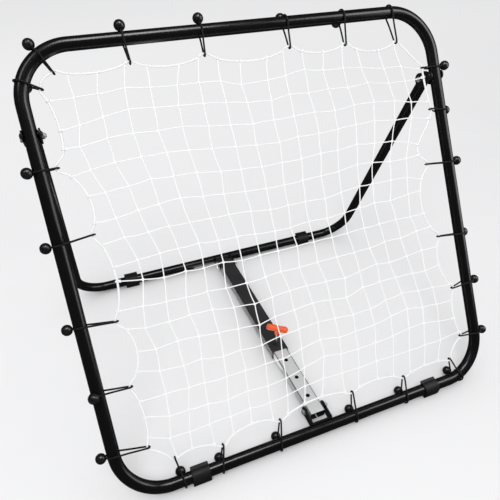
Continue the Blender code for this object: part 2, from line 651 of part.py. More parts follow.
def border(steps):
    """The border rope's centre line: straight through each loop, and a shallow bow towards the net between neighbours."""
    out = []
    middle = Vector((0, RING_H / 2))
    for i, row in enumerate(BUNGEES):
        nxt = BUNGEES[(i + 1) % len(BUNGEES)]
        here = seat(row[1], row[2])[2] * 4.5
        there = seat(nxt[1], nxt[2])[2] * 4.5
        a, b = hook(row) + here, hook(nxt) - there
        out.append((hook(row) - here, True))
        out.append((a, True))
        side = Vector((-(b - a).y, (b - a).x)).normalized()
        if side.dot(middle - (a + b) / 2) < 0:
            side = -side
        power = math.log(0.5) / math.log(row[8] if len(row) > 8 else 0.5)  # a bow is deepest half-way along unless its row says where
        for k in range(1, steps):
            f = k / steps
            g = f ** power
            out.append((a + (b - a) * f + side * row[7] * (4 * g * (1 - g)) ** 0.75, False))
    return out


rope_line = border(4)
new_object("net_border_rope", sweep([((p.x, 0, p.y), ROPE_R) for p, _ in rope_line], (0, 1, 0), 5, closed=True), ROPE, front, smooth=80)

panel = []
n = len(rope_line)
for i in range(n):
    before, (here, at_hook), after = rope_line[i - 1][0], rope_line[i], rope_line[(i + 1) % n][0]
    side = (after - before).normalized()
    inward = Vector((side.y, -side.x))  # the loop runs clockwise, so the net lies to its right
    panel.append(tuple(here + inward * (ROPE_R + (7.5 if at_hook else 2.4))))
new_object("net_panel", plate(panel, [], -NET_T / 2, NET_T / 2, "XZ"), ROPE, front, smooth=0)


# =====================================================================
# bungees: an elastic loop round the tube and the border rope, closed by a ball
# =====================================================================


def bungee(row):
    name, ball_angle, pull = "bungee_" + row[0], math.radians(row[5]), row[6]
    point, out, along = seat(row[1], row[2])
    end = hook(row)
    depth = (point - end).dot(out)
    skew = (end - point).dot(along)

    def place(u, v):
        """u from the tube's axis outward, v behind it; a pulled ball drags the rear of its loop along the tube."""
        f = min(1.0, max(0.0, -u / depth))
        drag = pull * (v + LOOP_R) / (LOOP_R + BALL_OUT * math.sin(ball_angle)) * (1 - f)
        p = point + out * u + along * (skew * f + drag)
        return Vector((p.x, v, p.y))

    path = [(place(u, v), CORD_R) for u, v in hull2((0, 0), LOOP_R, (-depth, 0), LOOP_END, 9, 4)]
    loop = new_object(name, sweep(path, (along.x, 0, along.y), 5, closed=True), CORD, front, smooth=80)
    ball = lathe([(-BALL_R, 0)] + [(-BALL_R * math.cos(math.pi * k / 6), BALL_R * math.sin(math.pi * k / 6)) for k in range(1, 6)] + [(BALL_R, 0)], 9)
    away = Vector((out.x * math.cos(ball_angle), math.sin(ball_angle), out.y * math.cos(ball_angle)))
    bmesh.ops.rotate(ball, matrix=away.to_track_quat("Z", "Y").to_matrix(), verts=ball.verts)
    centre = place(BALL_OUT * math.cos(ball_angle), BALL_OUT * math.sin(ball_angle))
    obj = new_object("add_ball_" + name, ball, None, front, place=centre, smooth=80, cutter=True)
    boolean(loop, obj, "UNION")


for row in BUNGEES:
    bungee(row)
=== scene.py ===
"""Adjustable ball rebounder: the visible surfaces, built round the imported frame.

Metres and +Z up everywhere; the helpers take millimetres. Front-frame points are (x, s, b): s runs up the leaning frame from the
bottom tube's axis and b points out of its back.
"""

import math
import random

import bmesh
import bpy
import numpy as np
from mathutils import Matrix, Vector


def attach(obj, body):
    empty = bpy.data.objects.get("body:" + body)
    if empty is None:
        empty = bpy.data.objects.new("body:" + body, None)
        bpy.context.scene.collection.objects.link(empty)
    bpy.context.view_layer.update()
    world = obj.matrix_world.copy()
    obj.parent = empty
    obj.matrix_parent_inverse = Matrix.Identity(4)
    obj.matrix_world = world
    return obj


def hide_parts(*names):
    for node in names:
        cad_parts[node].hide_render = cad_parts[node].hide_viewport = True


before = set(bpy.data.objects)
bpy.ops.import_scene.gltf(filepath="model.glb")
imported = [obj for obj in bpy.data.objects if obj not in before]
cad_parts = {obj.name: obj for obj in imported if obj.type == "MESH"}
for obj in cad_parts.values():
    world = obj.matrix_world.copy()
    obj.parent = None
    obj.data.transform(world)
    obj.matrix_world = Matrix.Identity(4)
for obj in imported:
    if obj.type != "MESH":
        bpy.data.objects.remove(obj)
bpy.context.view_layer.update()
MM = 0.001
RNG = random.Random(20260)

# ---- the object's dimensions, millimetres and degrees, as in the solid model
TUBE_R, TUBE_BORE = 14.0, 12.5
RING_W, RING_H, CR = 972.0, 952.0, 108.0
HW = RING_W / 2
AXIS_Z, LEAN = 19.0, math.radians(32.1)
FRONT_Y, REAR_Y = -370.03, 370.97
SEAM_S, SWAGE_R, SWAGE_LEN = 568.0, 12.1, 55.0
PIVOT_S, PIVOT_B = 791.7, 39.0
RW, RR, ARM_STUB = 484.0, 90.0, 12.0
BOLT_R, HOLE_R = 4.0, 4.35
PLATE_T, PLATE_IN, PLATE_OUT = 3.0, 469.7, 500.3
RIVET_S, RIVET_R = 790.0, 3.0
FOOT_X, FOOT_LEN = 316.0, 42.0
STRUT_Z, CLEVIS_REACH = 27.0, 52.0
EAR_GAP, EAR_T, EAR_R = 24.6, 3.0, 13.0
OUTER_W, OUTER_H, OUTER_T, OUTER_TOP, OUTER_FRONT = 48.0, 28.0, 2.0, 39.5, 254.0
INNER_W, INNER_H, INNER_T, INNER_TOP, INNER_FRONT, INNER_REAR = 41.0, 22.6, 1.5, 37.1, 33.0, 470.0
HOLE_PITCH, PIN_Y, HOLES = 64.0, 279.5, 4
GRIP_Z, GRIP_LEN, GRIP_TURN = 99.5, 60.0, -39.0
CORD_R, BALL_R, BALL_OUT = 2.0, 11.6, 26.2
ROPE_R = 2.6
LOOP_END = 4.9

PIVOT_Y = FRONT_Y + PIVOT_S * math.sin(LEAN) + PIVOT_B * math.cos(LEAN)
PIVOT_Z = AXIS_Z + PIVOT_S * math.cos(LEAN) - PIVOT_B * math.sin(LEAN)
ARM_LEN = math.hypot(REAR_Y - PIVOT_Y, PIVOT_Z - AXIS_Z)
ARM_TURN = math.atan2(REAR_Y - PIVOT_Y, PIVOT_Z - AXIS_Z)
REAR_PIVOT_Y = REAR_Y - CLEVIS_REACH
FRONT_PIVOT_Y = FRONT_Y + CLEVIS_REACH

# ---- frames that pieces are drawn in: x, out of the back, up the frame
WORLD = Matrix.Identity(4)
FRONT = Matrix.Translation((0, FRONT_Y * MM, AXIS_Z * MM)) @ Matrix.Rotation(-LEAN, 4, "X")
REAR = Matrix.Translation((0, PIVOT_Y * MM, PIVOT_Z * MM)) @ Matrix.Rotation(ARM_TURN, 4, "X")


def at(x, y, z, turn=0.0):
    return Matrix.Translation((x * MM, y * MM, z * MM)) @ Matrix.Rotation(math.radians(turn), 4, "Z")


# =====================================================================
# materials
# =====================================================================


class Paint:
    """A procedural material round one Principled BSDF."""

    def __init__(self, name, roughness, metallic=0.0, specular=0.5, coat=0.0, coat_rough=0.1):
        self.mat = bpy.data.materials.new(name)
        self.mat.use_nodes = True
        self.tree = self.mat.node_tree
        self.bsdf = self.tree.nodes["Principled BSDF"]
        self.bsdf.inputs["Roughness"].default_value = roughness
        self.bsdf.inputs["Metallic"].default_value = metallic
        self.bsdf.inputs["Specular IOR Level"].default_value = specular
        self.bsdf.inputs["Coat Weight"].default_value = coat
        self.bsdf.inputs["Coat Roughness"].default_value = coat_rough
        self.coords = self.tree.nodes.new("ShaderNodeTexCoord").outputs["Object"]

    def link(self, a, b):
        self.tree.links.new(a, b)

    def stretched(self, scale):
        node = self.tree.nodes.new("ShaderNodeMapping")
        node.inputs["Scale"].default_value = scale
        self.link(self.coords, node.inputs["Vector"])
        return node.outputs["Vector"]

    def noise(self, scale, detail=3.0, rough=0.55, vector=None, distortion=0.0):
        node = self.tree.nodes.new("ShaderNodeTexNoise")
        node.inputs["Scale"].default_value = scale
        node.inputs["Detail"].default_value = detail
        node.inputs["Roughness"].default_value = rough
        node.inputs["Distortion"].default_value = distortion
        self.link(vector or self.coords, node.inputs["Vector"])
        return node.outputs["Fac"]

    def cells(self, scale, feature="F1", vector=None, output="Distance"):
        node = self.tree.nodes.new("ShaderNodeTexVoronoi")
        node.feature = feature
        node.inputs["Scale"].default_value = scale
        self.link(vector or self.coords, node.inputs["Vector"])
        return node.outputs[output]

    def spread(self, value, low, high, lo=0.3, hi=0.7):
        node = self.tree.nodes.new("ShaderNodeMapRange")
        for name, x in (("From Min", lo), ("From Max", hi), ("To Min", low), ("To Max", high)):
            node.inputs[name].default_value = x
        self.link(value, node.inputs["Value"])
        return node.outputs["Result"]

    def math(self, operation, a, b=None):
        node = self.tree.nodes.new("ShaderNodeMath")
        node.operation = operation
        for i, v in enumerate((a, b)):
            if v is None:
                continue
            if isinstance(v, (int, float)):
                node.inputs[i].default_value = v
            else:
                self.link(v, node.inputs[i])
        return node.outputs[0]

    def mix(self, factor, a, b):
        node = self.tree.nodes.new("ShaderNodeMix")
        node.data_type = "RGBA"
        for i, v in ((6, a), (7, b)):
            if isinstance(v, tuple):
                node.inputs[i].default_value = (*v, 1.0)
            else:
                self.link(v, node.inputs[i])
        self.link(factor, node.inputs[0])
        return node.outputs[2]

    def colour(self, value):
        self.link(value, self.bsdf.inputs["Base Color"])

    def rough(self, value):
        self.link(value, self.bsdf.inputs["Roughness"])

    def bump(self, height, strength, depth, under=None):
        node = self.tree.nodes.new("ShaderNodeBump")
        node.inputs["Strength"].default_value = strength
        node.inputs["Distance"].default_value = depth
        self.link(height, node.inputs["Height"])
        if under is not None:
            self.link(under, node.inputs["Normal"])
        self.link(node.outputs["Normal"], self.bsdf.inputs["Normal"])
        return node.outputs["Normal"]

    def edges(self, low, high):
        """Where the surface turns sharply, for wear."""
        node = self.tree.nodes.new("ShaderNodeNewGeometry")
        return self.spread(node.outputs["Pointiness"], 0.0, 1.0, low, high)

    def along(self):
        """Length along a cord in millimetres, and the angle round it in turns."""
        node = self.tree.nodes.new("ShaderNodeAttribute")
        node.attribute_name = "cord"
        split = self.tree.nodes.new("ShaderNodeSeparateXYZ")
        self.link(node.outputs["Vector"], split.inputs[0])
        turn = self.math("ARCTAN2", split.outputs[2], split.outputs[1])
        return split.outputs[0], self.math("DIVIDE", turn, 2 * math.pi)

    def braid(self, count, pitch):
        """Height of a woven sleeve: two sets of strands crossing."""
        length, turn = self.along()
        run = self.math("DIVIDE", length, pitch)
        around = self.math("MULTIPLY", turn, float(count))
        one = self.math("SINE", self.math("MULTIPLY", self.math("ADD", around, run), 2 * math.pi))
        two = self.math("SINE", self.math("MULTIPLY", self.math("SUBTRACT", around, run), 2 * math.pi))
        return self.math("MAXIMUM", one, two)


def black_tube():
    """Stove enamel on steel: deep black, faint orange peel and a few specks of dust."""
    p = Paint("black_enamel", 0.22, specular=0.5)
    base = p.mix(p.spread(p.noise(7.0), 0, 1), (0.0022, 0.0022, 0.0025), (0.0038, 0.0038, 0.0042))
    dust = p.spread(p.noise(420.0, 2.0), 0.0, 0.5, 0.70, 0.80)
    p.colour(p.mix(dust, base, (0.02, 0.02, 0.021)))
    p.rough(p.spread(p.noise(26.0, 4.0), 0.19, 0.27))
    p.bump(p.noise(420.0, 2.0), 0.03, 0.0003)
    return p.mat


def black_pressing():
    """Powder coat on pressed steel, rubbed lighter along the cut edges."""
    p = Paint("black_powder_coat", 0.4, specular=0.45)
    base = p.mix(p.spread(p.noise(30.0), 0, 1), (0.004, 0.004, 0.0043), (0.009, 0.009, 0.0095))
    worn = p.math("MULTIPLY", p.edges(0.54, 0.62), p.spread(p.noise(300.0), 0.0, 0.8, 0.45, 0.6))
    p.colour(p.mix(worn, base, (0.09, 0.09, 0.09)))
    p.rough(p.spread(p.noise(90.0), 0.32, 0.48))
    p.bump(p.noise(1100.0, 3.0), 0.22, 0.0003)
    return p.mat


def zinc():
    """Bright zinc plate with fine brushing and a little dulling."""
    p = Paint("zinc_plate", 0.35, metallic=0.75, specular=0.6)
    p.colour(p.mix(p.spread(p.noise(150.0), 0, 1), (0.50, 0.52, 0.53), (0.72, 0.73, 0.72)))
    p.rough(p.spread(p.noise(60.0), 0.26, 0.46))
    p.bump(p.noise(2400.0, 2.0), 0.12, 0.0002)
    return p.mat


def strut_black():
    """Matt baked coat on rolled steel: fine texture with faint rubbing along the slide."""
    p = Paint("matt_strut_coat", 0.5, specular=0.5)
    base = p.mix(p.spread(p.noise(18.0), 0, 1), (0.019, 0.019, 0.021), (0.027, 0.027, 0.029))
    rubbed = p.math("MULTIPLY", p.spread(p.noise(8.0, 5.0, 0.7, p.stretched((60.0, 2.0, 60.0))), 0.0, 0.5, 0.55, 0.8), p.spread(p.noise(500.0), 0.0, 1.0, 0.4, 0.7))
    p.colour(p.mix(rubbed, base, (0.05, 0.05, 0.053)))
    p.rough(p.spread(p.noise(110.0), 0.42, 0.56))
    p.bump(p.noise(1600.0, 3.0), 0.2, 0.0003)
    return p.mat


def galvanised():
    """Zinc-coated strip: pale satin grey with a faint spangle and drawn lines along the length."""
    p = Paint("galvanised_steel", 0.4, metallic=0.2, specular=0.5)
    spangle = p.cells(230.0, vector=p.stretched((1.0, 0.7, 1.0)), output="Color")
    grey = p.tree.nodes.new("ShaderNodeSeparateColor")
    p.link(spangle, grey.inputs[0])
    base = p.mix(grey.outputs[0], (0.615, 0.64, 0.635), (0.665, 0.685, 0.68))
    drawn = p.spread(p.noise(6.0, 4.0, 0.6, p.stretched((150.0, 1.5, 150.0))), 0.0, 0.5, 0.5, 0.75)
    p.colour(p.mix(drawn, base, (0.54, 0.56, 0.56)))
    p.rough(p.spread(grey.outputs[1], 0.36, 0.46, 0.0, 1.0))
    p.bump(p.noise(5.0, 4.0, 0.6, p.stretched((220.0, 2.0, 220.0))), 0.10, 0.0002)
    return p.mat


def painted_shade_bend():
    """The bend along the channel's edge: painted shade, the zinc coloured darker there for the dark line along the
    bend.
    """
    p = Paint("painted_shade_bend", 0.36, metallic=0.5, specular=0.5)
    # painted shade: the bend is coloured darker than the flat zinc
    p.colour(p.mix(p.spread(p.noise(8.0, 4.0, 0.6, p.stretched((20.0, 1.0, 20.0))), 0, 1), (0.27, 0.28, 0.28), (0.40, 0.415, 0.41)))
    p.rough(p.spread(p.noise(60.0), 0.32, 0.42))
    return p.mat


def painted_shade_inside():
    """The inside of the sliding channel: painted shade, the zinc coloured near black for the shade that falls inside
    it.
    """
    p = Paint("shaded_channel_inside", 0.5, specular=0.4)
    # painted shade: a near-black colour stands in for the shade inside the channel
    p.colour(p.mix(p.spread(p.noise(40.0, 4.0), 0, 1), (0.004, 0.004, 0.004), (0.012, 0.012, 0.011)))
    p.rough(p.spread(p.noise(120.0), 0.4, 0.6))
    p.bump(p.noise(300.0), 0.2, 0.0003)
    return p.mat


def moulded():
    """Black moulded plastic with a fine spark-eroded grain."""
    p = Paint("moulded_plastic", 0.5, specular=0.36)
    base = p.mix(p.spread(p.noise(25.0), 0, 1), (0.005, 0.005, 0.0055), (0.009, 0.009, 0.0095))
    p.colour(p.mix(p.math("MULTIPLY", p.edges(0.55, 0.66), 0.5), base, (0.05, 0.05, 0.05)))
    p.rough(p.spread(p.noise(180.0), 0.44, 0.6))
    p.bump(p.cells(1300.0), 0.3, 0.00035)
    return p.mat


def orange():
    """Orange moulded grip, slightly mottled and satin."""
    p = Paint("orange_grip_plastic", 0.38, specular=0.5)
    p.colour(p.mix(p.spread(p.noise(55.0, 4.0), 0, 1), (0.80, 0.085, 0.012), (0.90, 0.125, 0.02)))
    p.rough(p.spread(p.noise(240.0), 0.32, 0.46))
    p.bump(p.noise(1300.0, 3.0), 0.2, 0.0003)
    return p.mat


def elastic():
    """Braided elastic sleeve."""
    p = Paint("braided_elastic", 0.7, specular=0.35)
    weave = p.braid(8, 2.6)
    # painted shade: the colour is darker in the grooves of the braid and lighter on the strands' crowns
    p.colour(p.mix(p.spread(weave, 0, 1, -0.4, 1.0), (0.0012, 0.0012, 0.0012), (0.006, 0.006, 0.0065)))
    p.rough(p.spread(p.noise(700.0), 0.58, 0.8))
    p.bump(weave, 0.5, 0.00025)
    p.bsdf.inputs["Sheen Weight"].default_value = 0.05
    p.bsdf.inputs["Sheen Roughness"].default_value = 0.4
    return p.mat


def ball_plastic():
    """Glossy black ball."""
    p = Paint("glossy_ball", 0.3, specular=0.6)
    p.colour(p.mix(p.spread(p.noise(60.0), 0, 1), (0.005, 0.005, 0.0055), (0.009, 0.009, 0.0097)))
    p.rough(p.spread(p.noise(130.0, 4.0), 0.24, 0.33))
    p.bump(p.noise(900.0, 2.0), 0.08, 0.0003)
    return p.mat


def cord_white(name, count, pitch, low, high):
    """White polyester cord with its laid strands."""
    p = Paint(name, 0.75, specular=0.3)
    weave = p.braid(count, pitch)
    # painted shade: the colour is darker in the grooves between the laid strands and lighter on their crowns
    shade = p.mix(p.spread(weave, 0, 1, -0.3, 1.0), low, high)
    grubby = p.spread(p.noise(14.0, 4.0), 0.0, 0.2, 0.5, 0.75)
    p.colour(p.mix(grubby, shade, (0.86, 0.86, 0.85)))
    p.rough(p.spread(p.noise(900.0), 0.65, 0.85))
    p.bump(weave, 0.35, 0.0002)
    p.bsdf.inputs["Sheen Weight"].default_value = 0.15
    p.bsdf.inputs["Sheen Roughness"].default_value = 0.5
    return p.mat


MAT = {
    "tube": black_tube(),
    "pressing": black_pressing(),
    "zinc": zinc(),
    "strut": strut_black(),
    "galvanised": galvanised(),
    "painted_shade_inside": painted_shade_inside(),
    "painted_shade_bend": painted_shade_bend(),
    "plastic": moulded(),
    "orange": orange(),
    "elastic": elastic(),
    "ball": ball_plastic(),
    "net": cord_white("net_cord", 5, 2.2, (0.87, 0.87, 0.875), (0.955, 0.955, 0.96)),
    "rope": cord_white("border_rope", 6, 5.0, (0.86, 0.86, 0.865), (0.955, 0.955, 0.96)),
}


# =====================================================================
# mesh helpers, millimetres
# =====================================================================


def piece(name, bm, mat, body, nodes, place=WORLD, bevel=0.0, smooth=38.0, segments=2, cord=None):
    """A drawn shape becomes a piece of the model that stands for some solid nodes."""
    bmesh.ops.recalc_face_normals(bm, faces=bm.faces)
    mesh = bpy.data.meshes.new(name)
    bmesh.ops.scale(bm, vec=(MM, MM, MM), verts=bm.verts)
    bm.to_mesh(mesh)
    bm.free()
    mesh.transform(place)
    obj = bpy.data.objects.new(name, mesh)
    bpy.context.scene.collection.objects.link(obj)
    mesh.materials.append(MAT[mat])
    mesh.shade_smooth()
    mesh.set_sharp_from_angle(angle=math.radians(smooth))
    if bevel:
        mod = obj.modifiers.new("edges", "BEVEL")
        mod.width = bevel * MM
        mod.segments = segments
        mod.limit_method = "ANGLE"
        mod.angle_limit = math.radians(32)
        mod.harden_normals = True
    finish_piece(obj, body, nodes)
    return obj


def finish_piece(obj, body, nodes):
    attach(obj, body)
    if nodes:
        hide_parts(*nodes)
    return obj


def cut(obj, cutter_bm, place=WORLD, first=True):
    """Takes a drawn shape out of a piece and applies it."""
    bmesh.ops.recalc_face_normals(cutter_bm, faces=cutter_bm.faces)
    mesh = bpy.data.meshes.new("cutter")
    bmesh.ops.scale(cutter_bm, vec=(MM, MM, MM), verts=cutter_bm.verts)
    cutter_bm.to_mesh(mesh)
    cutter_bm.free()
    mesh.transform(place)
    cutter = bpy.data.objects.new("cutter", mesh)
    bpy.context.scene.collection.objects.link(cutter)
    boolean_apply(obj, cutter, "DIFFERENCE")


def boolean_apply(obj, other, operation):
    mod = obj.modifiers.new("cut", "BOOLEAN")
    mod.operation = operation
    mod.object = other
    mod.solver = "EXACT"
    while obj.modifiers[0] != mod:
        obj.modifiers.move(list(obj.modifiers).index(mod), 0)
    kept = [(m.type, m.width, m.segments) for m in obj.modifiers if m.type == "BEVEL"]
    for m in list(obj.modifiers):
        if m.type == "BEVEL":
            obj.modifiers.remove(m)
    bpy.context.view_layer.update()
    graph = bpy.context.evaluated_depsgraph_get()
    mesh = bpy.data.meshes.new_from_object(obj.evaluated_get(graph))
    obj.modifiers.clear()
    mesh.shade_smooth()
    mesh.set_sharp_from_angle(angle=math.radians(38))
    obj.data = mesh
    for _, width, segments in kept:
        again = obj.modifiers.new("edges", "BEVEL")
        again.width, again.segments = width, segments
        again.limit_method = "ANGLE"
        again.angle_limit = math.radians(32)
        again.harden_normals = True
    bpy.data.objects.remove(other, do_unlink=True)


def skin(bm, rings, closed):
    count = len(rings[0])
    pairs = list(zip(rings, rings[1:])) + ([(rings[-1], rings[0])] if closed else [])
    for first, second in pairs:
        for k in range(count):
            m = (k + 1) % count
            bm.faces.new((first[k], first[m], second[m], second[k]))


def pipe(path, normal, sides=40, closed=False):
    """A hollow tube along a plane path of (point, outer radius, bore radius), with its ends turned in."""
    bm = bmesh.new()
    normal = Vector(normal).normalized()
    points = [Vector(p[0]) for p in path]
    n = len(points)
    outer, inner = [], []
    for i, (_, r, bore) in enumerate(path):
        before, after = points[max(i - 1, 0)], points[min(i + 1, n - 1)]
        a = (points[i] - before).normalized() if (points[i] - before).length > 1e-6 else None
        b = (after - points[i]).normalized() if (after - points[i]).length > 1e-6 else None
        tangent = ((a or b) + (b or a)).normalized()
        side = tangent.cross(normal).normalized()
        up = side.cross(tangent).normalized()
        for rings, radius in ((outer, r), (inner, bore)):
            rings.append([bm.verts.new(points[i] + radius * (side * math.cos(2 * math.pi * k / sides) + up * math.sin(2 * math.pi * k / sides))) for k in range(sides)])
    skin(bm, outer, False)
    skin(bm, inner, False)
    for first, second in ((outer[0], inner[0]), (outer[-1], inner[-1])):
        for k in range(sides):
            m = (k + 1) % sides
            bm.faces.new((first[k], first[m], second[m], second[k]))
    return bm


def turned(profile, sides=40, axis="Z", bm=None, matrix=None, closed=False):
    """A turned solid from (along, radius) pairs; a radius of 0 closes an end to a point."""
    bm = bm or bmesh.new()
    turn = {"Z": Matrix.Identity(3), "X": Matrix.Rotation(math.radians(90), 3, "Y"), "Y": Matrix.Rotation(math.radians(-90), 3, "X")}[axis]
    matrix = matrix or Matrix.Identity(4)
    rings = []
    for along, radius in profile:
        if radius == 0:
            rings.append([bm.verts.new(matrix @ (turn @ Vector((0, 0, along))))])
            continue
        rings.append([bm.verts.new(matrix @ (turn @ Vector((radius * math.cos(2 * math.pi * k / sides), radius * math.sin(2 * math.pi * k / sides), along)))) for k in range(sides)])
    pairs = list(zip(rings, rings[1:])) + ([(rings[-1], rings[0])] if closed else [])
    for first, second in pairs:
        for k in range(sides):
            m = (k + 1) % sides
            if len(first) == 1 and len(second) == 1:
                continue
            if len(first) == 1:
                bm.faces.new((first[0], second[m], second[k]))
            elif len(second) == 1:
                bm.faces.new((first[k], first[m], second[0]))
            else:
                bm.faces.new((first[k], first[m], second[m], second[k]))
    if not closed:
        for ring in (rings[0], rings[-1]):
            if len(ring) > 1:
                bm.faces.new(ring)
    return bm


def circle(cx, cy, radius, count, start=0.0):
    return [(cx + radius * math.cos(start + 2 * math.pi * k / count), cy + radius * math.sin(start + 2 * math.pi * k / count)) for k in range(count)]


def arc(cx, cy, radius, a0, a1, count):
    return [(cx + radius * math.cos(math.radians(a0 + (a1 - a0) * k / count)), cy + radius * math.sin(math.radians(a0 + (a1 - a0) * k / count))) for k in range(count + 1)]


def plate(outline, holes, low, high, plane="XY"):
    """A flat plate: outline and holes are loops of (u, v), pulled from low to high along the third axis."""
    put = {"XY": lambda u, v, w: (u, v, w), "YZ": lambda u, v, w: (w, u, v), "XZ": lambda u, v, w: (u, w, v)}[plane]
    bm = bmesh.new()
    edges = []
    for loop in [outline] + holes:
        verts = [bm.verts.new(put(u, v, low)) for u, v in loop]
        edges += [bm.edges.new((verts[k], verts[(k + 1) % len(verts)])) for k in range(len(verts))]
    bmesh.ops.triangle_fill(bm, use_beauty=True, use_dissolve=False, edges=edges)
    bmesh.ops.dissolve_limit(bm, angle_limit=0.01, verts=bm.verts, edges=bm.edges, delimit={"NORMAL"}) if not holes else None
    out = bmesh.ops.extrude_face_region(bm, geom=list(bm.faces))
    moved = [g for g in out["geom"] if isinstance(g, bmesh.types.BMVert)]
    bmesh.ops.translate(bm, vec=Vector(put(0, 0, high)) - Vector(put(0, 0, low)), verts=moved)
    return bm


def belt(c1, r1, c2, r2, n1, n2):
    """Outline round two circles, as a belt."""
    dx, dy = c2[0] - c1[0], c2[1] - c1[1]
    dist = math.hypot(dx, dy)
    base = math.atan2(dy, dx)
    spread = math.acos((r1 - r2) / dist)
    out = [(c1[0] + r1 * math.cos(base + spread + (2 * math.pi - 2 * spread) * k / n1), c1[1] + r1 * math.sin(base + spread + (2 * math.pi - 2 * spread) * k / n1)) for k in range(n1 + 1)]
    out += [(c2[0] + r2 * math.cos(base - spread + 2 * spread * k / n2), c2[1] + r2 * math.sin(base - spread + 2 * spread * k / n2)) for k in range(n2 + 1)]
    return out


def bend(cx, cs, radius, a0, a1, steps):
    return [(cx + radius * math.cos(math.radians(a0 + (a1 - a0) * k / steps)), cs + radius * math.sin(math.radians(a0 + (a1 - a0) * k / steps))) for k in range(steps + 1)]


def joined(*meshes):
    bm = bmesh.new()
    for other in meshes:
        mesh = bpy.data.meshes.new("scratch")
        other.to_mesh(mesh)
        other.free()
        bm.from_mesh(mesh)
        bpy.data.meshes.remove(mesh)
    return bm


def moved(bm, vec):
    bmesh.ops.translate(bm, vec=vec, verts=bm.verts)
    return bm


def hexagon(flats, start):
    r = flats / 2 / math.cos(math.pi / 6)
    return [(r * math.cos(math.radians(start + 60 * k)), r * math.sin(math.radians(start + 60 * k))) for k in range(6)]


def hex_solid(flats, low, high, start, crown="both", hole=0.0):
    """A hexagon with its corners turned off, as bolt heads and nuts are, along X."""
    bm = plate(hexagon(flats, start), [circle(0, 0, hole, 32)] if hole else [], low, high, "YZ")
    r = flats / 2
    ends = {"both": (True, True), "low": (True, False), "high": (False, True)}[crown]
    c = 1.1
    profile = [(low - 0.01, r - 0.2 if ends[0] else r * 1.3)]
    profile += [(low + c, r * 1.165)] if ends[0] else []
    profile += [(high - c, r * 1.165)] if ends[1] else []
    profile += [(high + 0.01, r - 0.2 if ends[1] else r * 1.3)]
    return bm, turned(profile, 48, "X")


# =====================================================================
# cords: tubes with their length kept on them, for the weave
# =====================================================================


def smooth_path(points, step, closed=False):
    """Resamples a path by a centripetal Catmull-Rom curve at about that step."""
    p = np.asarray(points, float)
    n = len(p)
    if closed:
        p = np.vstack([p[-1], p, p[0], p[1]])
    else:
        p = np.vstack([2 * p[0] - p[1], p, 2 * p[-1] - p[-2]])
    out = []
    for i in range(n if closed else n - 1):
        a, b, c, d = p[i : i + 4]
        ta = 0.0
        tb = ta + max(np.linalg.norm(b - a), 1e-9) ** 0.5
        tc = tb + max(np.linalg.norm(c - b), 1e-9) ** 0.5
        td = tc + max(np.linalg.norm(d - c), 1e-9) ** 0.5
        count = max(1, int(round(np.linalg.norm(c - b) / step)))
        for k in range(count):
            t = tb + (tc - tb) * k / count
            a1 = (tb - t) / (tb - ta) * a + (t - ta) / (tb - ta) * b
            a2 = (tc - t) / (tc - tb) * b + (t - tb) / (tc - tb) * c
            a3 = (td - t) / (td - tc) * c + (t - tc) / (td - tc) * d
            b1 = (tc - t) / (tc - ta) * a1 + (t - ta) / (tc - ta) * a2
            b2 = (td - t) / (td - tb) * a2 + (t - tb) / (td - tb) * a3
            out.append((tc - t) / (tc - tb) * b1 + (t - tb) / (tc - tb) * b2)
    if not closed:
        out.append(p[n])
    return np.array(out)


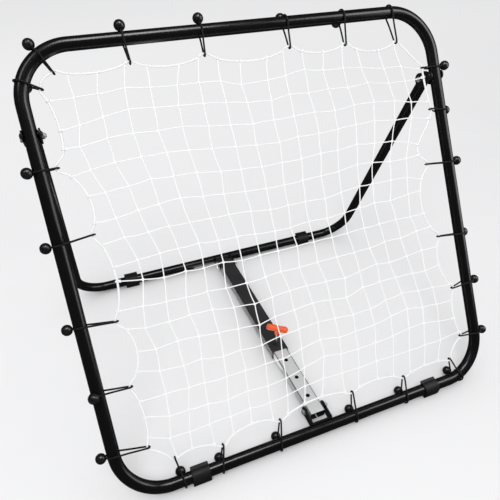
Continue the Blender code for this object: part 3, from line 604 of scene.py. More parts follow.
class Cords:
    """Collects tubes into one mesh."""

    def __init__(self):
        self.verts, self.faces, self.marks, self.count = [], [], [], 0

    def add(self, path, radius, sides=8, closed=False, twist=0.0, lobes=0, depth=0.0, normal=None, caps=True):
        p = np.asarray(path, float)
        n = len(p)
        if closed:
            tangents = np.roll(p, -1, 0) - np.roll(p, 1, 0)
        else:
            tangents = np.gradient(p, axis=0)
        tangents /= np.linalg.norm(tangents, axis=1)[:, None]
        length = np.concatenate([[0.0], np.cumsum(np.linalg.norm(np.diff(p, axis=0), axis=1))])
        if normal is not None:
            u = np.cross(tangents, np.asarray(normal, float)[None])
            u /= np.linalg.norm(u, axis=1)[:, None]
        else:
            u = np.zeros_like(p)
            seed = np.array([0.31, 0.23, 0.92])
            first = np.cross(tangents[0], seed)
            u[0] = first / np.linalg.norm(first)
            for i in range(1, n):
                v = u[i - 1] - tangents[i] * (u[i - 1] @ tangents[i])
                u[i] = v / np.linalg.norm(v)
            if closed:
                v = u[-1] - tangents[0] * (u[-1] @ tangents[0])
                v /= np.linalg.norm(v)
                gap = math.atan2(float(np.cross(v, u[0]) @ tangents[0]), float(v @ u[0]))
                for i in range(n):
                    a = gap * i / n
                    w = np.cross(tangents[i], u[i])
                    u[i] = u[i] * math.cos(a) + w * math.sin(a)
        w = np.cross(tangents, u)
        radius = np.broadcast_to(np.asarray(radius, float), (n,))
        start = self.count
        total = length[-1] + (np.linalg.norm(p[0] - p[-1]) if closed else 0.0)
        turns = round(total * twist / (2 * math.pi)) * 2 * math.pi / total if closed and twist else twist
        for i in range(n):
            ang = 2 * math.pi * np.arange(sides) / sides
            r = radius[i] * (1 - depth * (0.5 - 0.5 * np.cos(lobes * ang))) if lobes else np.full(sides, radius[i])
            real = ang + turns * length[i]
            self.verts.append(p[i] + r[:, None] * (np.cos(real)[:, None] * u[i] + np.sin(real)[:, None] * w[i]))
            self.marks.append(np.stack([np.full(sides, length[i]), np.cos(ang), np.sin(ang)], 1))
        for i in range(n if closed else n - 1):
            a, b = start + i * sides, start + ((i + 1) % n) * sides
            for k in range(sides):
                m = (k + 1) % sides
                self.faces.append((a + k, a + m, b + m, b + k))
        self.count += n * sides
        if not closed and caps:
            self.faces.append(tuple(start + k for k in reversed(range(sides))))
            self.faces.append(tuple(start + (n - 1) * sides + k for k in range(sides)))

    def piece(self, name, mat, body, nodes, place=WORLD):
        mesh = bpy.data.meshes.new(name)
        verts = np.concatenate(self.verts) * MM
        mesh.from_pydata(verts.tolist(), [], self.faces)
        mesh.transform(place)
        attribute = mesh.attributes.new("cord", "FLOAT_VECTOR", "POINT")
        attribute.data.foreach_set("vector", np.concatenate(self.marks).astype(np.float32).ravel())
        mesh.shade_smooth()
        mesh.validate()
        obj = bpy.data.objects.new(name, mesh)
        bpy.context.scene.collection.objects.link(obj)
        mesh.materials.append(MAT[mat])
        return finish_piece(obj, body, nodes)


# =====================================================================
# tubes
# =====================================================================


def densify(points, spots, keep=4.0):
    """Returns the tube's path unchanged; it adds no rings round the drilled places."""
    return points


def ring_path(points):
    return [((x, 0, s), TUBE_R, TUBE_BORE) for x, s in points]


E = 0.6  # rolled edge of a cut tube end
upper = [((-HW, 0, SEAM_S + 0.3), TUBE_R - E, TUBE_BORE), ((-HW, 0, SEAM_S + 0.3 + 0.25), TUBE_R - 0.2, TUBE_BORE), ((-HW, 0, SEAM_S + 0.3 + E), TUBE_R, TUBE_BORE)]
upper += ring_path([(-HW, SEAM_S + 40), (-HW, SEAM_S + 120), (-HW, RIVET_S - 14), (-HW, RIVET_S + 14)])
upper += ring_path(bend(-HW + CR, RING_H - CR, CR, 180, 90, 28))
upper += ring_path([(-HW / 2, RING_H), (0, RING_H), (HW / 2, RING_H)])
upper += ring_path(bend(HW - CR, RING_H - CR, CR, 90, 0, 28))
upper += ring_path([(HW, RIVET_S + 14), (HW, RIVET_S - 14), (HW, SEAM_S + 120), (HW, SEAM_S + 40)])
upper += [((HW, 0, SEAM_S + 0.3 + E), TUBE_R, TUBE_BORE), ((HW, 0, SEAM_S + 0.3 + 0.25), TUBE_R - 0.2, TUBE_BORE), ((HW, 0, SEAM_S + 0.3), TUBE_R - E, TUBE_BORE)]
tube = piece("ring_upper_tube", pipe(upper, (0, 1, 0)), "tube", "front_frame", ["front_frame_upper_tube"], FRONT, smooth=50)
cut(tube, joined(*[moved(turned([(-30, RIVET_R + 0.35), (30, RIVET_R + 0.35)], 24, "X"), (x, 0, RIVET_S)) for x in (-HW, HW)]), FRONT)


def swage(x, up):
    ends = [
        ((x, 0, SEAM_S - 120), TUBE_R, TUBE_BORE), ((x, 0, SEAM_S - 40), TUBE_R, TUBE_BORE), ((x, 0, SEAM_S - 12), TUBE_R, TUBE_BORE), ((x, 0, SEAM_S - 4), TUBE_R, SWAGE_R - 1.6),
        ((x, 0, SEAM_S - E), TUBE_R, SWAGE_R - 1.6), ((x, 0, SEAM_S - 0.25), TUBE_R - 0.2, SWAGE_R - 1.6), ((x, 0, SEAM_S), TUBE_R - E, SWAGE_R - 1.6),
        ((x, 0, SEAM_S + 0.02), SWAGE_R, SWAGE_R - 1.6), ((x, 0, SEAM_S + SWAGE_LEN - 1), SWAGE_R, SWAGE_R - 1.6), ((x, 0, SEAM_S + SWAGE_LEN), SWAGE_R - 0.5, SWAGE_R - 1.6),
    ]
    return ends if up else ends[::-1]


lower = swage(-HW, False) + ring_path(bend(-HW + CR, CR, CR, 180, 270, 28)) + ring_path([(-HW / 2, 0), (0, 0), (HW / 2, 0)]) + ring_path(bend(HW - CR, CR, CR, -90, 0, 28)) + swage(HW, True)
piece("ring_lower_tube", pipe(lower, (0, 1, 0)), "tube", "front_frame", ["front_frame_lower_tube"], FRONT, smooth=50)

stub = [(ARM_STUB, TUBE_R - E), (ARM_STUB - 0.25, TUBE_R - 0.2), (ARM_STUB - E, TUBE_R)]
rear = [((-RW, 0, z), r, TUBE_BORE) for z, r in stub] + ring_path([(-RW, 6.5), (-RW, -6.5), (-RW, -60), (-RW, -300), (-RW, -500)])
rear += ring_path(bend(-RW + RR, -ARM_LEN + RR, RR, 180, 270, 26)) + ring_path([(-RW / 2, -ARM_LEN), (0, -ARM_LEN), (RW / 2, -ARM_LEN)]) + ring_path(bend(RW - RR, -ARM_LEN + RR, RR, -90, 0, 26))
rear += ring_path([(RW, -500), (RW, -300), (RW, -60), (RW, -6.5), (RW, 6.5)]) + [((RW, 0, z), r, TUBE_BORE) for z, r in stub[::-1]]
tube = piece("rear_u_tube", pipe(rear, (0, 1, 0)), "tube", "rear_frame", ["rear_frame_tube"], REAR, smooth=50)
cut(tube, joined(*[moved(turned([(-30, HOLE_R), (30, HOLE_R)], 24, "X"), (x, 0, 0)) for x in (-RW, RW)]), REAR)

# =====================================================================
# hinges
# =====================================================================
outline = belt((0, RIVET_S), 11.0, (PIVOT_B, PIVOT_S), 16.0, 28, 34)
plate_holes = [circle(0, RIVET_S, RIVET_R + 0.35, 24), circle(PIVOT_B, PIVOT_S, HOLE_R, 28)]
for side, sign in (("left", -1), ("right", 1)):
    plug = [(ARM_STUB - 5.5, 9.8), (ARM_STUB - 5.5, 10.8), (ARM_STUB - 4.6, 11.4), (ARM_STUB - 1.0, 11.9), (ARM_STUB + 0.3, 11.9), (ARM_STUB + 0.3, 13.2), (ARM_STUB + 0.5, 13.6), (ARM_STUB + 1.5, 13.6), (ARM_STUB + 2.1, 12.9), (ARM_STUB + 2.6, 11.0), (ARM_STUB + 2.9, 7.0), (ARM_STUB + 3.0, 0)]
    piece(f"arm_end_plug_{side}", turned(plug, 44), "plastic", "rear_frame", [f"rear_arm_plug_{side}"], REAR @ Matrix.Translation((sign * RW * MM, 0, 0)), smooth=30)
    for where, x0, x1 in (("inner", PLATE_IN, PLATE_IN - PLATE_T), ("outer", PLATE_OUT, PLATE_OUT + PLATE_T)):
        low, high = sorted((sign * x0, sign * x1))
        piece(f"hinge_cheek_{side}_{where}", plate(outline, plate_holes, low, high, "YZ"), "pressing", "front_frame", [f"hinge_plate_{side}_{where}"], FRONT, bevel=0.55, segments=3)
    near, far = PLATE_IN - PLATE_T - 0.3, PLATE_OUT + PLATE_T + 0.3
    mid = (near + far) / 2
    half = mid - near
    head = [(-half - 3.4, 0), (-half - 3.35, 1.2), (-half - 3.05, 2.6), (-half - 2.4, 4.0), (-half - 1.4, 5.2), (-half - 0.5, 5.9), (-half, 6.0), (-half, RIVET_R)]
    piece(f"rivet_{side}", turned(head + [(-a, r) for a, r in head[::-1]], 36, "X"), "pressing", "front_frame", [f"hinge_rivet_{side}"], FRONT @ Matrix.Translation((sign * mid * MM, 0, RIVET_S * MM)), smooth=32)
    spot = FRONT @ Matrix.Translation((sign * far * MM, PIVOT_B * MM, PIVOT_S * MM)) @ Matrix.Rotation(0 if sign > 0 else math.pi, 4, "Z")
    shank_len = (far - near) + 9.0

    def bolt(name, flats, head_h, length, radius, start, thread, body, nodes, place):
        """Hex bolt along X: washer face, chamfered head, shank, rolled thread at the end."""
        solid, crown = hex_solid(flats, 0.45, head_h, start, "high")
        head = piece(name, solid, "zinc", body, nodes, place, smooth=28)
        mesh = bpy.data.meshes.new("crown")
        bmesh.ops.recalc_face_normals(crown, faces=crown.faces)
        bmesh.ops.scale(crown, vec=(MM, MM, MM), verts=crown.verts)
        crown.to_mesh(mesh)
        crown.free()
        mesh.transform(place)
        other = bpy.data.objects.new("crown", mesh)
        bpy.context.scene.collection.objects.link(other)
        boolean_apply(head, other, "INTERSECT")
        profile = [(1.2, 0), (1.2, flats / 2 - 0.25), (0.0, flats / 2 - 0.25), (0.0, radius), (-(length - thread), radius)]
        z = length - thread
        while z < length - 1.2:
            profile += [(-z, radius - 0.45), (-(z + 0.3), radius - 0.45), (-(z + 0.62), radius), (-(z + 0.9), radius)]
            z += 1.2
        profile += [(-(length - 0.7), radius - 0.15), (-length, radius - 0.85), (-length, 0)]
        shank = turned(profile, 36, "X")
        bmesh.ops.recalc_face_normals(shank, faces=shank.faces)
        bmesh.ops.scale(shank, vec=(MM, MM, MM), verts=shank.verts)
        mesh = bpy.data.meshes.new("shank")
        shank.to_mesh(mesh)
        shank.free()
        mesh.transform(place)
        other = bpy.data.objects.new("shank", mesh)
        bpy.context.scene.collection.objects.link(other)
        boolean_apply(head, other, "UNION")
        return head

    def nut(name, flats, low, high, start, body, nodes, place, dome):
        """Locking nut along X: hexagon with a plain collar at its outer end."""
        inner_end, outer_end = (low, high) if dome > 0 else (high, low)
        tall = (high - low) * 0.68
        a, b = sorted((inner_end, inner_end + dome * tall))
        solid, crown = hex_solid(flats, a, b, start, "both")
        obj = piece(name, solid, "zinc", body, nodes, place, smooth=28)
        for tool, op in ((crown, "INTERSECT"), (None, "UNION"), ("hole", "DIFFERENCE")):
            if tool is None:
                r = flats / 2
                t0 = inner_end + dome * tall * 0.9
                tool = turned([(t0, 0), (t0, r - 0.6), (inner_end + dome * (tall + 0.9), r - 0.9), (outer_end - dome * 0.6, r - 1.2), (outer_end, r - 1.9), (outer_end, 0)], 40, "X")
            elif tool == "hole":
                tool = turned([(low - 2, HOLE_R), (high + 2, HOLE_R)], 32, "X")
            bmesh.ops.recalc_face_normals(tool, faces=tool.faces)
            bmesh.ops.scale(tool, vec=(MM, MM, MM), verts=tool.verts)
            mesh = bpy.data.meshes.new("tool")
            tool.to_mesh(mesh)
            tool.free()
            mesh.transform(place)
            other = bpy.data.objects.new("tool", mesh)
            bpy.context.scene.collection.objects.link(other)
            boolean_apply(obj, other, op)
        return obj

    bolt(f"pivot_bolt_{side}", 13.0, 5.3, shank_len, BOLT_R, 30, 16.0, "front_frame", [f"hinge_bolt_{side}"], spot)
    low, high = sorted((sign * (near - 6.8), sign * near))
    nut(f"pivot_nut_{side}", 13.0, low, high, 0, "front_frame", [f"hinge_nut_{side}"], FRONT @ Matrix.Translation((0, PIVOT_B * MM, PIVOT_S * MM)), -sign)

# =====================================================================
# feet
# =====================================================================
foot_profile = arc(0, 0, TUBE_R + 0.35, -20, -322, 60)
foot_profile += [(12.3, 12.9), (13.6, 14.2), (14.6, 15.8), (15.2, 17.4), (14.2, 18.0), (12.0, 17.9), (10.4, 16.9)]
foot_profile += arc(0, 0, 17.6, 66, 196, 34)
foot_profile += [(-16.4, -9.5), (-15.6, -13.0), (-14.6, -18.0), (-13.8, -AXIS_Z), (13.8, -AXIS_Z), (14.7, -18.0), (17.0, -10.0)]
for tag, frame_y, body in (("front", FRONT_Y, "front_frame"), ("rear", REAR_Y, "rear_frame")):
    for side, sign in (("left", -1), ("right", 1)):
        piece(f"clip_foot_{tag}_{side}", plate(foot_profile, [], -FOOT_LEN / 2, FOOT_LEN / 2, "YZ"), "plastic", body, [f"foot_{tag}_{side}"], at(sign * FOOT_X, frame_y, AXIS_Z), bevel=0.5, segments=3)

# =====================================================================
# strut: clevises, channels, pivots
# =====================================================================
ear = arc(0, 0, TUBE_R + 0.4, 62, -26, 24)
ear += [(16.6, -9.2), (17.5, -8.0)]
ear += arc(CLEVIS_REACH, STRUT_Z - AXIS_Z, EAR_R, -100, 80, 36)
ear += [(12.0, 17.6)]
for tag, frame_y, turn, body in (("front", FRONT_Y, 0, "front_frame"), ("rear", REAR_Y, 180, "rear_frame")):
    place = at(0, frame_y, AXIS_Z, turn)
    clevis = piece(f"clevis_{tag}", plate(ear, [], -EAR_GAP - EAR_T, EAR_GAP + EAR_T, "YZ"), "pressing", body, [f"strut_clevis_{tag}"], place, bevel=0.55, segments=3)
    step = [(-5, 8.5), (TUBE_R + 0.7, 8.5)] + arc(TUBE_R + 0.7, 5.8, 2.7, 90, 0, 6)[1:] + [(TUBE_R + 3.4, -40), (90, -40), (90, 40), (-5, 40)]
    cut(clevis, plate(step, [], -EAR_GAP, EAR_GAP, "YZ"), place)
    cut(clevis, moved(turned([(-40, HOLE_R), (40, HOLE_R)], 28, "X"), (0, CLEVIS_REACH, STRUT_Z - AXIS_Z)), place)
    y = frame_y + (CLEVIS_REACH if tag == "front" else -CLEVIS_REACH)
    face = EAR_GAP + EAR_T + 0.3
    bolt(f"strut_pivot_bolt_{tag}", 13.0, 5.3, 2 * face + 8.8, BOLT_R, 0, 16.0, body, [f"strut_bolt_{tag}"], at(-face, y, STRUT_Z, 180))
    nut(f"strut_pivot_nut_{tag}", 13.0, face, face + 6.8, 30, body, [f"strut_nut_{tag}"], at(0, y, STRUT_Z), 1)


def channel_section(width, height, wall, lip, r):
    """Rolled channel open downward: rounded bends outside and inside, turned-in lips."""
    w, h = width / 2, height
    ri = max(r - wall, 0.3)
    out = []
    out += [(x, z) for x, z in arc(w - r, -r, r, 90, 0, 7)]
    out += [(x, z) for x, z in arc(w - r, -h + r, r, 0, -90, 7)]
    out += [(w - lip, -h), (w - lip, -h + wall)]
    out += [(x, z) for x, z in arc(w - wall - ri, -h + wall + ri, ri, -90, 0, 5)]
    out += [(x, z) for x, z in arc(w - wall - ri, -wall - ri, ri, 0, 90, 5)]
    mirrored = [(-x, z) for x, z in out[::-1]]
    return out + mirrored


def slots_plate(outline2d, low, high):
    return plate(outline2d, [], low, high, "XZ")


def channel(name, width, height, wall, lip, r, low_y, high_y, top, mat, body, node, base_y, cutters):
    section = channel_section(width, height, wall, lip, r)
    bm = bmesh.new()
    stations = [low_y, low_y + 3.0] + [low_y + 3.0 + (high_y - low_y - 6.0) * k / 8 for k in range(1, 8)] + [high_y - 3.0, high_y]
    rings = [[bm.verts.new((x, y, z)) for x, z in section] for y in stations]
    skin(bm, rings, False)
    bm.faces.new(rings[0])
    bm.faces.new(rings[-1])
    place = at(0, base_y, top)
    obj = piece(name, bm, mat, body, [node], place, smooth=30)
    for tool in cutters:
        cut(obj, tool, place)
    # painted shade: on the galvanised channel the faces inside take the near-black shade material and the rolled bends
    # the darker bend material
    if mat == "galvanised":
        obj.data.materials.append(MAT["painted_shade_inside"])
        obj.data.materials.append(MAT["painted_shade_bend"])
        back = place.inverted()
        for face in obj.data.polygons:
            x, _, z = (back @ face.center) / MM
            x = abs(x)
            if x < width / 2 - wall + 0.1 and -height + wall - 0.1 < z < -0.05:
                face.material_index = 1
            elif x > width / 2 - r + 0.1 and z > -r + 0.1:
                face.material_index = 2
    mod = obj.modifiers.new("edges", "BEVEL")
    mod.width = 0.28 * MM
    mod.segments = 2
    mod.limit_method = "ANGLE"
    mod.angle_limit = math.radians(40)
    mod.harden_normals = True
    return obj


z_out = STRUT_Z - OUTER_TOP
channel(
    "strut_outer", OUTER_W, OUTER_H, OUTER_T, 7.0, 3.2, FRONT_Y + OUTER_FRONT - REAR_PIVOT_Y, 13.5, OUTER_TOP, "strut", "strut_outer", "strut_outer_channel", REAR_PIVOT_Y,
    [
        moved(turned([(-40, HOLE_R), (40, HOLE_R)], 28, "X"), (0, 0, z_out)),
        moved(turned([(-8, 5.0), (8, 5.0)], 32), (0, FRONT_Y + PIN_Y - REAR_PIVOT_Y, 0)),
    ],
)
z_in = STRUT_Z - INNER_TOP
inner_holes = [moved(turned([(-5, 5.0), (-0.55, 5.0), (0.6, 5.75), (4, 5.75)], 32), (0, PIN_Y - HOLE_PITCH * k - CLEVIS_REACH, 0)) for k in range(HOLES)]
channel(
    "strut_inner", INNER_W, INNER_H, INNER_T, 19.0, 2.9, INNER_FRONT - CLEVIS_REACH, INNER_REAR - CLEVIS_REACH, INNER_TOP, "galvanised", "strut_inner", "strut_inner_channel", FRONT_PIVOT_Y,
    [moved(turned([(-40, 7.4), (40, 7.4)], 36, "X"), (0, 0, z_in)), joined(*inner_holes)],
)
for side, sign in (("left", -1), ("right", 1)):
    a, b = INNER_W / 2 + 0.4, EAR_GAP - 0.3
    ring = [(sign * a, HOLE_R), (sign * a, 5.5), (sign * (a + 0.3), 5.8), (sign * (b - 0.3), 5.8), (sign * b, 5.5), (sign * b, HOLE_R)]
    piece(f"pivot_spacer_{side}", turned(ring, 36, "X", closed=True), "plastic", "front_frame", [f"strut_spacer_{side}"], at(0, FRONT_PIVOT_Y, STRUT_Z), smooth=30)

# =====================================================================
# plunger
# =====================================================================
PLUNGER = at(0, FRONT_Y + PIN_Y, OUTER_TOP)
housing = [(0.3, 6.4), (0.3, 9.9), (0.9, 10.1), (1.5, 9.5), (2.2, 9.4), (9.4, 9.4), (10.0, 9.2), (11.8, 8.1), (12.2, 7.5), (12.2, 3.3), (11.9, 3.0), (10.6, 3.0), (10.6, 6.4)]
piece("plunger_barrel", turned(housing, 48, closed=True), "strut", "strut_outer", ["plunger_housing"], PLUNGER, smooth=25)
pin = [(-2.1, 0), (-2.1, 3.6), (-1.9, 4.1), (-1.4, 4.6), (0.7, 4.6), (0.7, 5.6), (0.9, 5.8), (2.0, 5.8), (2.2, 5.6), (2.2, 2.5), (20, 2.5), (33.0, 2.5), (47.2, 2.5), (47.5, 2.2), (47.5, 0)]
piece("plunger_shaft", turned(pin, 32), "zinc", "plunger", ["plunger_pin"], PLUNGER, smooth=28)
coil = []
low, high, wire, turns = 2.65, 10.15, 0.2, 6.5  # wide enough for the collar to pass inside it when pulled
for i in range(int(turns * 28) + 1):
    a = 2 * math.pi * i / 28
    f = i / (turns * 28)
    coil.append((6.12 * math.cos(a), 6.12 * math.sin(a), low + wire + (high - low - 2 * wire) * f))
spring = Cords()
spring.add(coil, wire, 8)
spring.piece("plunger_coil", "zinc", "strut_outer", ["plunger_spring"], PLUNGER)

# T-grip: a swelling bar with rounded ends, blended into its stem, with a socket for the shaft
grip_h = GRIP_Z - OUTER_TOP
half = GRIP_LEN / 2
bar = [(-half, 0)]
for k in range(1, 10):
    a = math.pi / 2 * k / 9
    bar.append((-half + 6.5 - 6.5 * math.cos(a), 8.8 * math.sin(a) ** 0.8))
bar += [(-half + 9.0, 9.05), (-12.0, 8.9), (-6.0, 8.75), (0.0, 8.7)]
bar += [(-a, r) for a, r in bar[-2::-1]]
place = PLUNGER @ Matrix.Translation((0, 0, grip_h * MM)) @ Matrix.Rotation(math.radians(GRIP_TURN), 4, "Z")
grip = piece("t_grip", turned(bar, 56, "X"), "orange", "plunger", ["plunger_t_grip"], place, smooth=60)
stem = turned([(37.5 - grip_h, 0), (37.5 - grip_h, 5.2), (38.0 - grip_h, 5.9), (39.0 - grip_h, 6.3), (-14.0, 6.5), (-11.5, 6.8), (-9.0, 7.4), (-7.0, 7.6), (-3.0, 7.2), (-3.0, 0)], 48)
bmesh.ops.recalc_face_normals(stem, faces=stem.faces)
bmesh.ops.scale(stem, vec=(MM, MM, MM), verts=stem.verts)
mesh = bpy.data.meshes.new("stem")
stem.to_mesh(mesh)
stem.free()
mesh.transform(place)
other = bpy.data.objects.new("stem", mesh)
bpy.context.scene.collection.objects.link(other)
boolean_apply(grip, other, "UNION")
remesh = grip.modifiers.new("blend", "REMESH")
remesh.mode = "VOXEL"
remesh.voxel_size = 0.0007
relax = grip.modifiers.new("soften", "SMOOTH")
relax.factor = 0.5
relax.iterations = 7
bpy.context.view_layer.update()
mesh = bpy.data.meshes.new_from_object(grip.evaluated_get(bpy.context.evaluated_depsgraph_get()))
grip.modifiers.clear()
grip.data = mesh
cut(grip, turned([(-40, 2.85), (48.0 - grip_h, 2.85)], 28), place)
grip.data.shade_smooth()
grip.data.set_sharp_from_angle(angle=math.radians(50))

# =====================================================================
# elastics and balls
# =====================================================================
# (name, side of the ring, place along that side or angle round its bend, x and s of the elastic's tip in the net,
#  ball's angle round the tube, sideways pull of the ball, how far the rope bows in before the next one)
BUNGEES = [
    ("top_1", "top left bend", 121.6, -415, 898, 0, 0, 13), ("top_2", "top", -269, -264, 901, 0, 0, 17), ("top_3", "top", -102, -104, 900, 0, 0, 24),
    ("top_4", "top", 98, 99, 896, 50, 0, 18), ("top_5", "top", 245, 243, 888, 97, 0, 21), ("top_6", "top", 377, 385, 879, 75, 0, 1),
    ("right_1", "right", 808, 445, 812, -20, -0.6, 2), ("right_2", "right", 701, 453, 710, 25, 0, 32, 0.75), ("right_3", "right", 568, 416, 575, 0, 0, 38),
    ("right_4", "right", 378, 417, 386, 25, 0, 24), ("right_5", "right", 247, 436, 241, 0, 0, 14), ("right_6", "right", 105, 438, 108, 0, 0, 10),
    ("bottom_1", "bottom right bend", -70.5, 393, 57, 124, 18, 11), ("bottom_2", "bottom", 237, 246, 54, 108.5, 0, 16), ("bottom_3", "bottom", 87, 93, 63, 108.5, 0, 20),
    ("bottom_4", "bottom", -120, -105, 58, 108.5, 0, 22), ("bottom_5", "bottom", -266, -251, 49, 108.5, 0, 13), ("bottom_6", "bottom", -355, -364, 59, 113, 0, 4),
    ("left_1", "left", 112, -410, 101, 0, 0, 12), ("left_2", "left", 250, -415, 243, -70, 0, 30), ("left_3", "left", 397, -411, 388, 0, 0, 24),
    ("left_4", "left", 568, -414, 576, 0, 0, 29), ("left_5", "left", 717, -450, 719, -25, 0, 22, 0.38), ("left_6", "top left bend", 156.0, -443, 871, 100, 0, -5),
]


def seat(side, where):
    if side.endswith("bend"):
        centre = Vector((-HW + CR, RING_H - CR)) if side.startswith("top") else Vector((HW - CR, CR))
        out = Vector((math.cos(math.radians(where)), math.sin(math.radians(where))))
        point = centre + out * CR
    else:
        out = {"top": Vector((0, 1)), "right": Vector((1, 0)), "bottom": Vector((0, -1)), "left": Vector((-1, 0))}[side]
        point = {"top": Vector((where, RING_H)), "right": Vector((HW, where)), "bottom": Vector((where, 0)), "left": Vector((-HW, where))}[side]
    return point, out, Vector((out.y, -out.x))


def hook(row):
    point, out, along = seat(row[1], row[2])
    tip = Vector((row[3], row[4]))
    return tip + (point - tip).normalized() * (LOOP_END - 0.4)


def knot_curve(size, height, count=30):
    """A trefoil, for a pulled-tight knot."""
    t = np.arange(count) * 2 * math.pi / count
    return np.stack([size * (np.sin(t) + 2 * np.sin(2 * t)) / 3, size * (np.cos(t) - 2 * np.cos(2 * t)) / 3, -height * np.sin(3 * t)], 1)


def ball_profile():
    """Moulded ball from its inner pole to its outer one: cord hole and a countersunk knot recess; seam_profile adds the
    parting line.
    """
    out = [(-BALL_R + 3.5, 0), (-BALL_R + 3.5, 2.6)]
    for k in range(3, 34):
        a = math.pi * k / 36
        r = BALL_R
        if k == 18:
            r = BALL_R + 0.0
        out.append((-r * math.cos(a), r * math.sin(a)))
    out += [(math.sqrt(BALL_R**2 - 2.9**2) - 0.05, 2.9), (BALL_R - 1.0, 2.45), (BALL_R - 3.6, 2.2), (BALL_R - 3.6, 0)]
    return out


def seam_profile():
    base = ball_profile()
    out = []
    for z, r in base:
        if abs(z) < 0.3 and r > 10:
            out += [(-0.35, BALL_R - 0.01), (-0.12, BALL_R + 0.09), (0.12, BALL_R + 0.09), (0.35, BALL_R - 0.01)]
        else:
            out.append((z, r))
    return out


def bungee(row):
    name, ball_angle, pull = row[0], math.radians(row[5]), row[6]
    point, out, along = seat(row[1], row[2])
    end = hook(row)
    depth = (point - end).dot(out)
    skew = (end - point).dot(along)
    loop_r = TUBE_R + CORD_R + 0.25

    def place(u, v, w=0.0):
        f = min(1.0, max(0.0, -u / depth))
        drag = pull * (v + loop_r) / (loop_r + BALL_OUT * math.sin(ball_angle)) * (1 - f)
        p = point + out * u + along * (skew * f + drag + w)
        return np.array((p.x, v, p.y))

    cords = Cords()
    end_r = LOOP_END
    outline = belt((0, 0), loop_r, (-depth, 0), end_r, 44, 14)
    # more points on the two straight runs, drawn in towards each other near the rope
    path = []
    count = len(outline)
    for i in range(count):
        a, b = np.array(outline[i]), np.array(outline[(i + 1) % count])
        gap = np.linalg.norm(b - a)
        n = max(1, int(gap / 3.0))
        for k in range(n):
            u, v = a + (b - a) * k / n
            f = min(1.0, max(0.0, -u / depth))
            squeeze = 1.0 - 0.10 * math.sin(math.pi * min(1.0, f / 0.98)) ** 2
            path.append(place(u, v * squeeze))
    cords.add(path, CORD_R, 12, closed=True)
    # the neck: both ends of the elastic run from the loop into the ball
    c, s = math.cos(ball_angle), math.sin(ball_angle)
    for w in (-1.9, 1.9):
        neck = [place((loop_r - 0.6) * c, (loop_r - 0.6) * s, w * 1.5), place((loop_r + 0.6) * c, (loop_r + 0.6) * s, w), place((BALL_OUT - BALL_R + 2.0) * c, (BALL_OUT - BALL_R + 2.0) * s, w * 0.55)]
        cords.add(smooth_path(neck, 0.7), 1.25, 8)
    centre = place(BALL_OUT * c, BALL_OUT * s)
    away = Vector((out.x * c, s, out.y * c))
    turn = away.to_track_quat("Z", "Y").to_matrix().to_4x4()
    knot = knot_curve(1.55, 0.5, 20)
    knot = np.array([(turn @ Vector(p + np.array((0, 0, BALL_R - 2.6))))[:] for p in knot]) + centre
    cords.add(knot, 0.75, 6, closed=True)
    cords.piece(f"elastic_{name}", "elastic", "front_frame", [f"bungee_{name}"], FRONT)
    spot = FRONT @ Matrix.Translation(Vector(centre) * MM) @ turn
    piece(f"ball_{name}", turned(seam_profile(), 32), "ball", "front_frame", [f"bungee_{name}"], spot, smooth=45)


for row in BUNGEES:
    bungee(row)

# =====================================================================
# net: laid border rope, knotted square mesh, lashings
# =====================================================================


def border(steps):
    out = []
    middle = Vector((0, RING_H / 2))
    for i, row in enumerate(BUNGEES):
        nxt = BUNGEES[(i + 1) % len(BUNGEES)]
        here = seat(row[1], row[2])[2] * 4.5
        there = seat(nxt[1], nxt[2])[2] * 4.5
        a, b = hook(row) + here, hook(nxt) - there
        out.append(hook(row) - here)
        out.append(a)
        side = Vector((-(b - a).y, (b - a).x)).normalized()
        if side.dot(middle - (a + b) / 2) < 0:
            side = -side
        power = math.log(0.5) / math.log(row[8] if len(row) > 8 else 0.5)  # a bow is deepest half-way along unless its row says where
        for k in range(1, steps):
            f = k / steps
            g = f ** power
            out.append(a + (b - a) * f + side * row[7] * (4 * g * (1 - g)) ** 0.75)
    return np.array([(p.x, 0.0, p.y) for p in out])


rope_line = smooth_path(border(8), 2.0, closed=True)
rope = Cords()
rope.add(rope_line, ROPE_R, 12, closed=True, twist=2 * math.pi / 17.0, lobes=3, depth=0.16, normal=(0, 1, 0))
rope.piece("border_rope", "rope", "front_frame", ["net_border_rope"], FRONT)

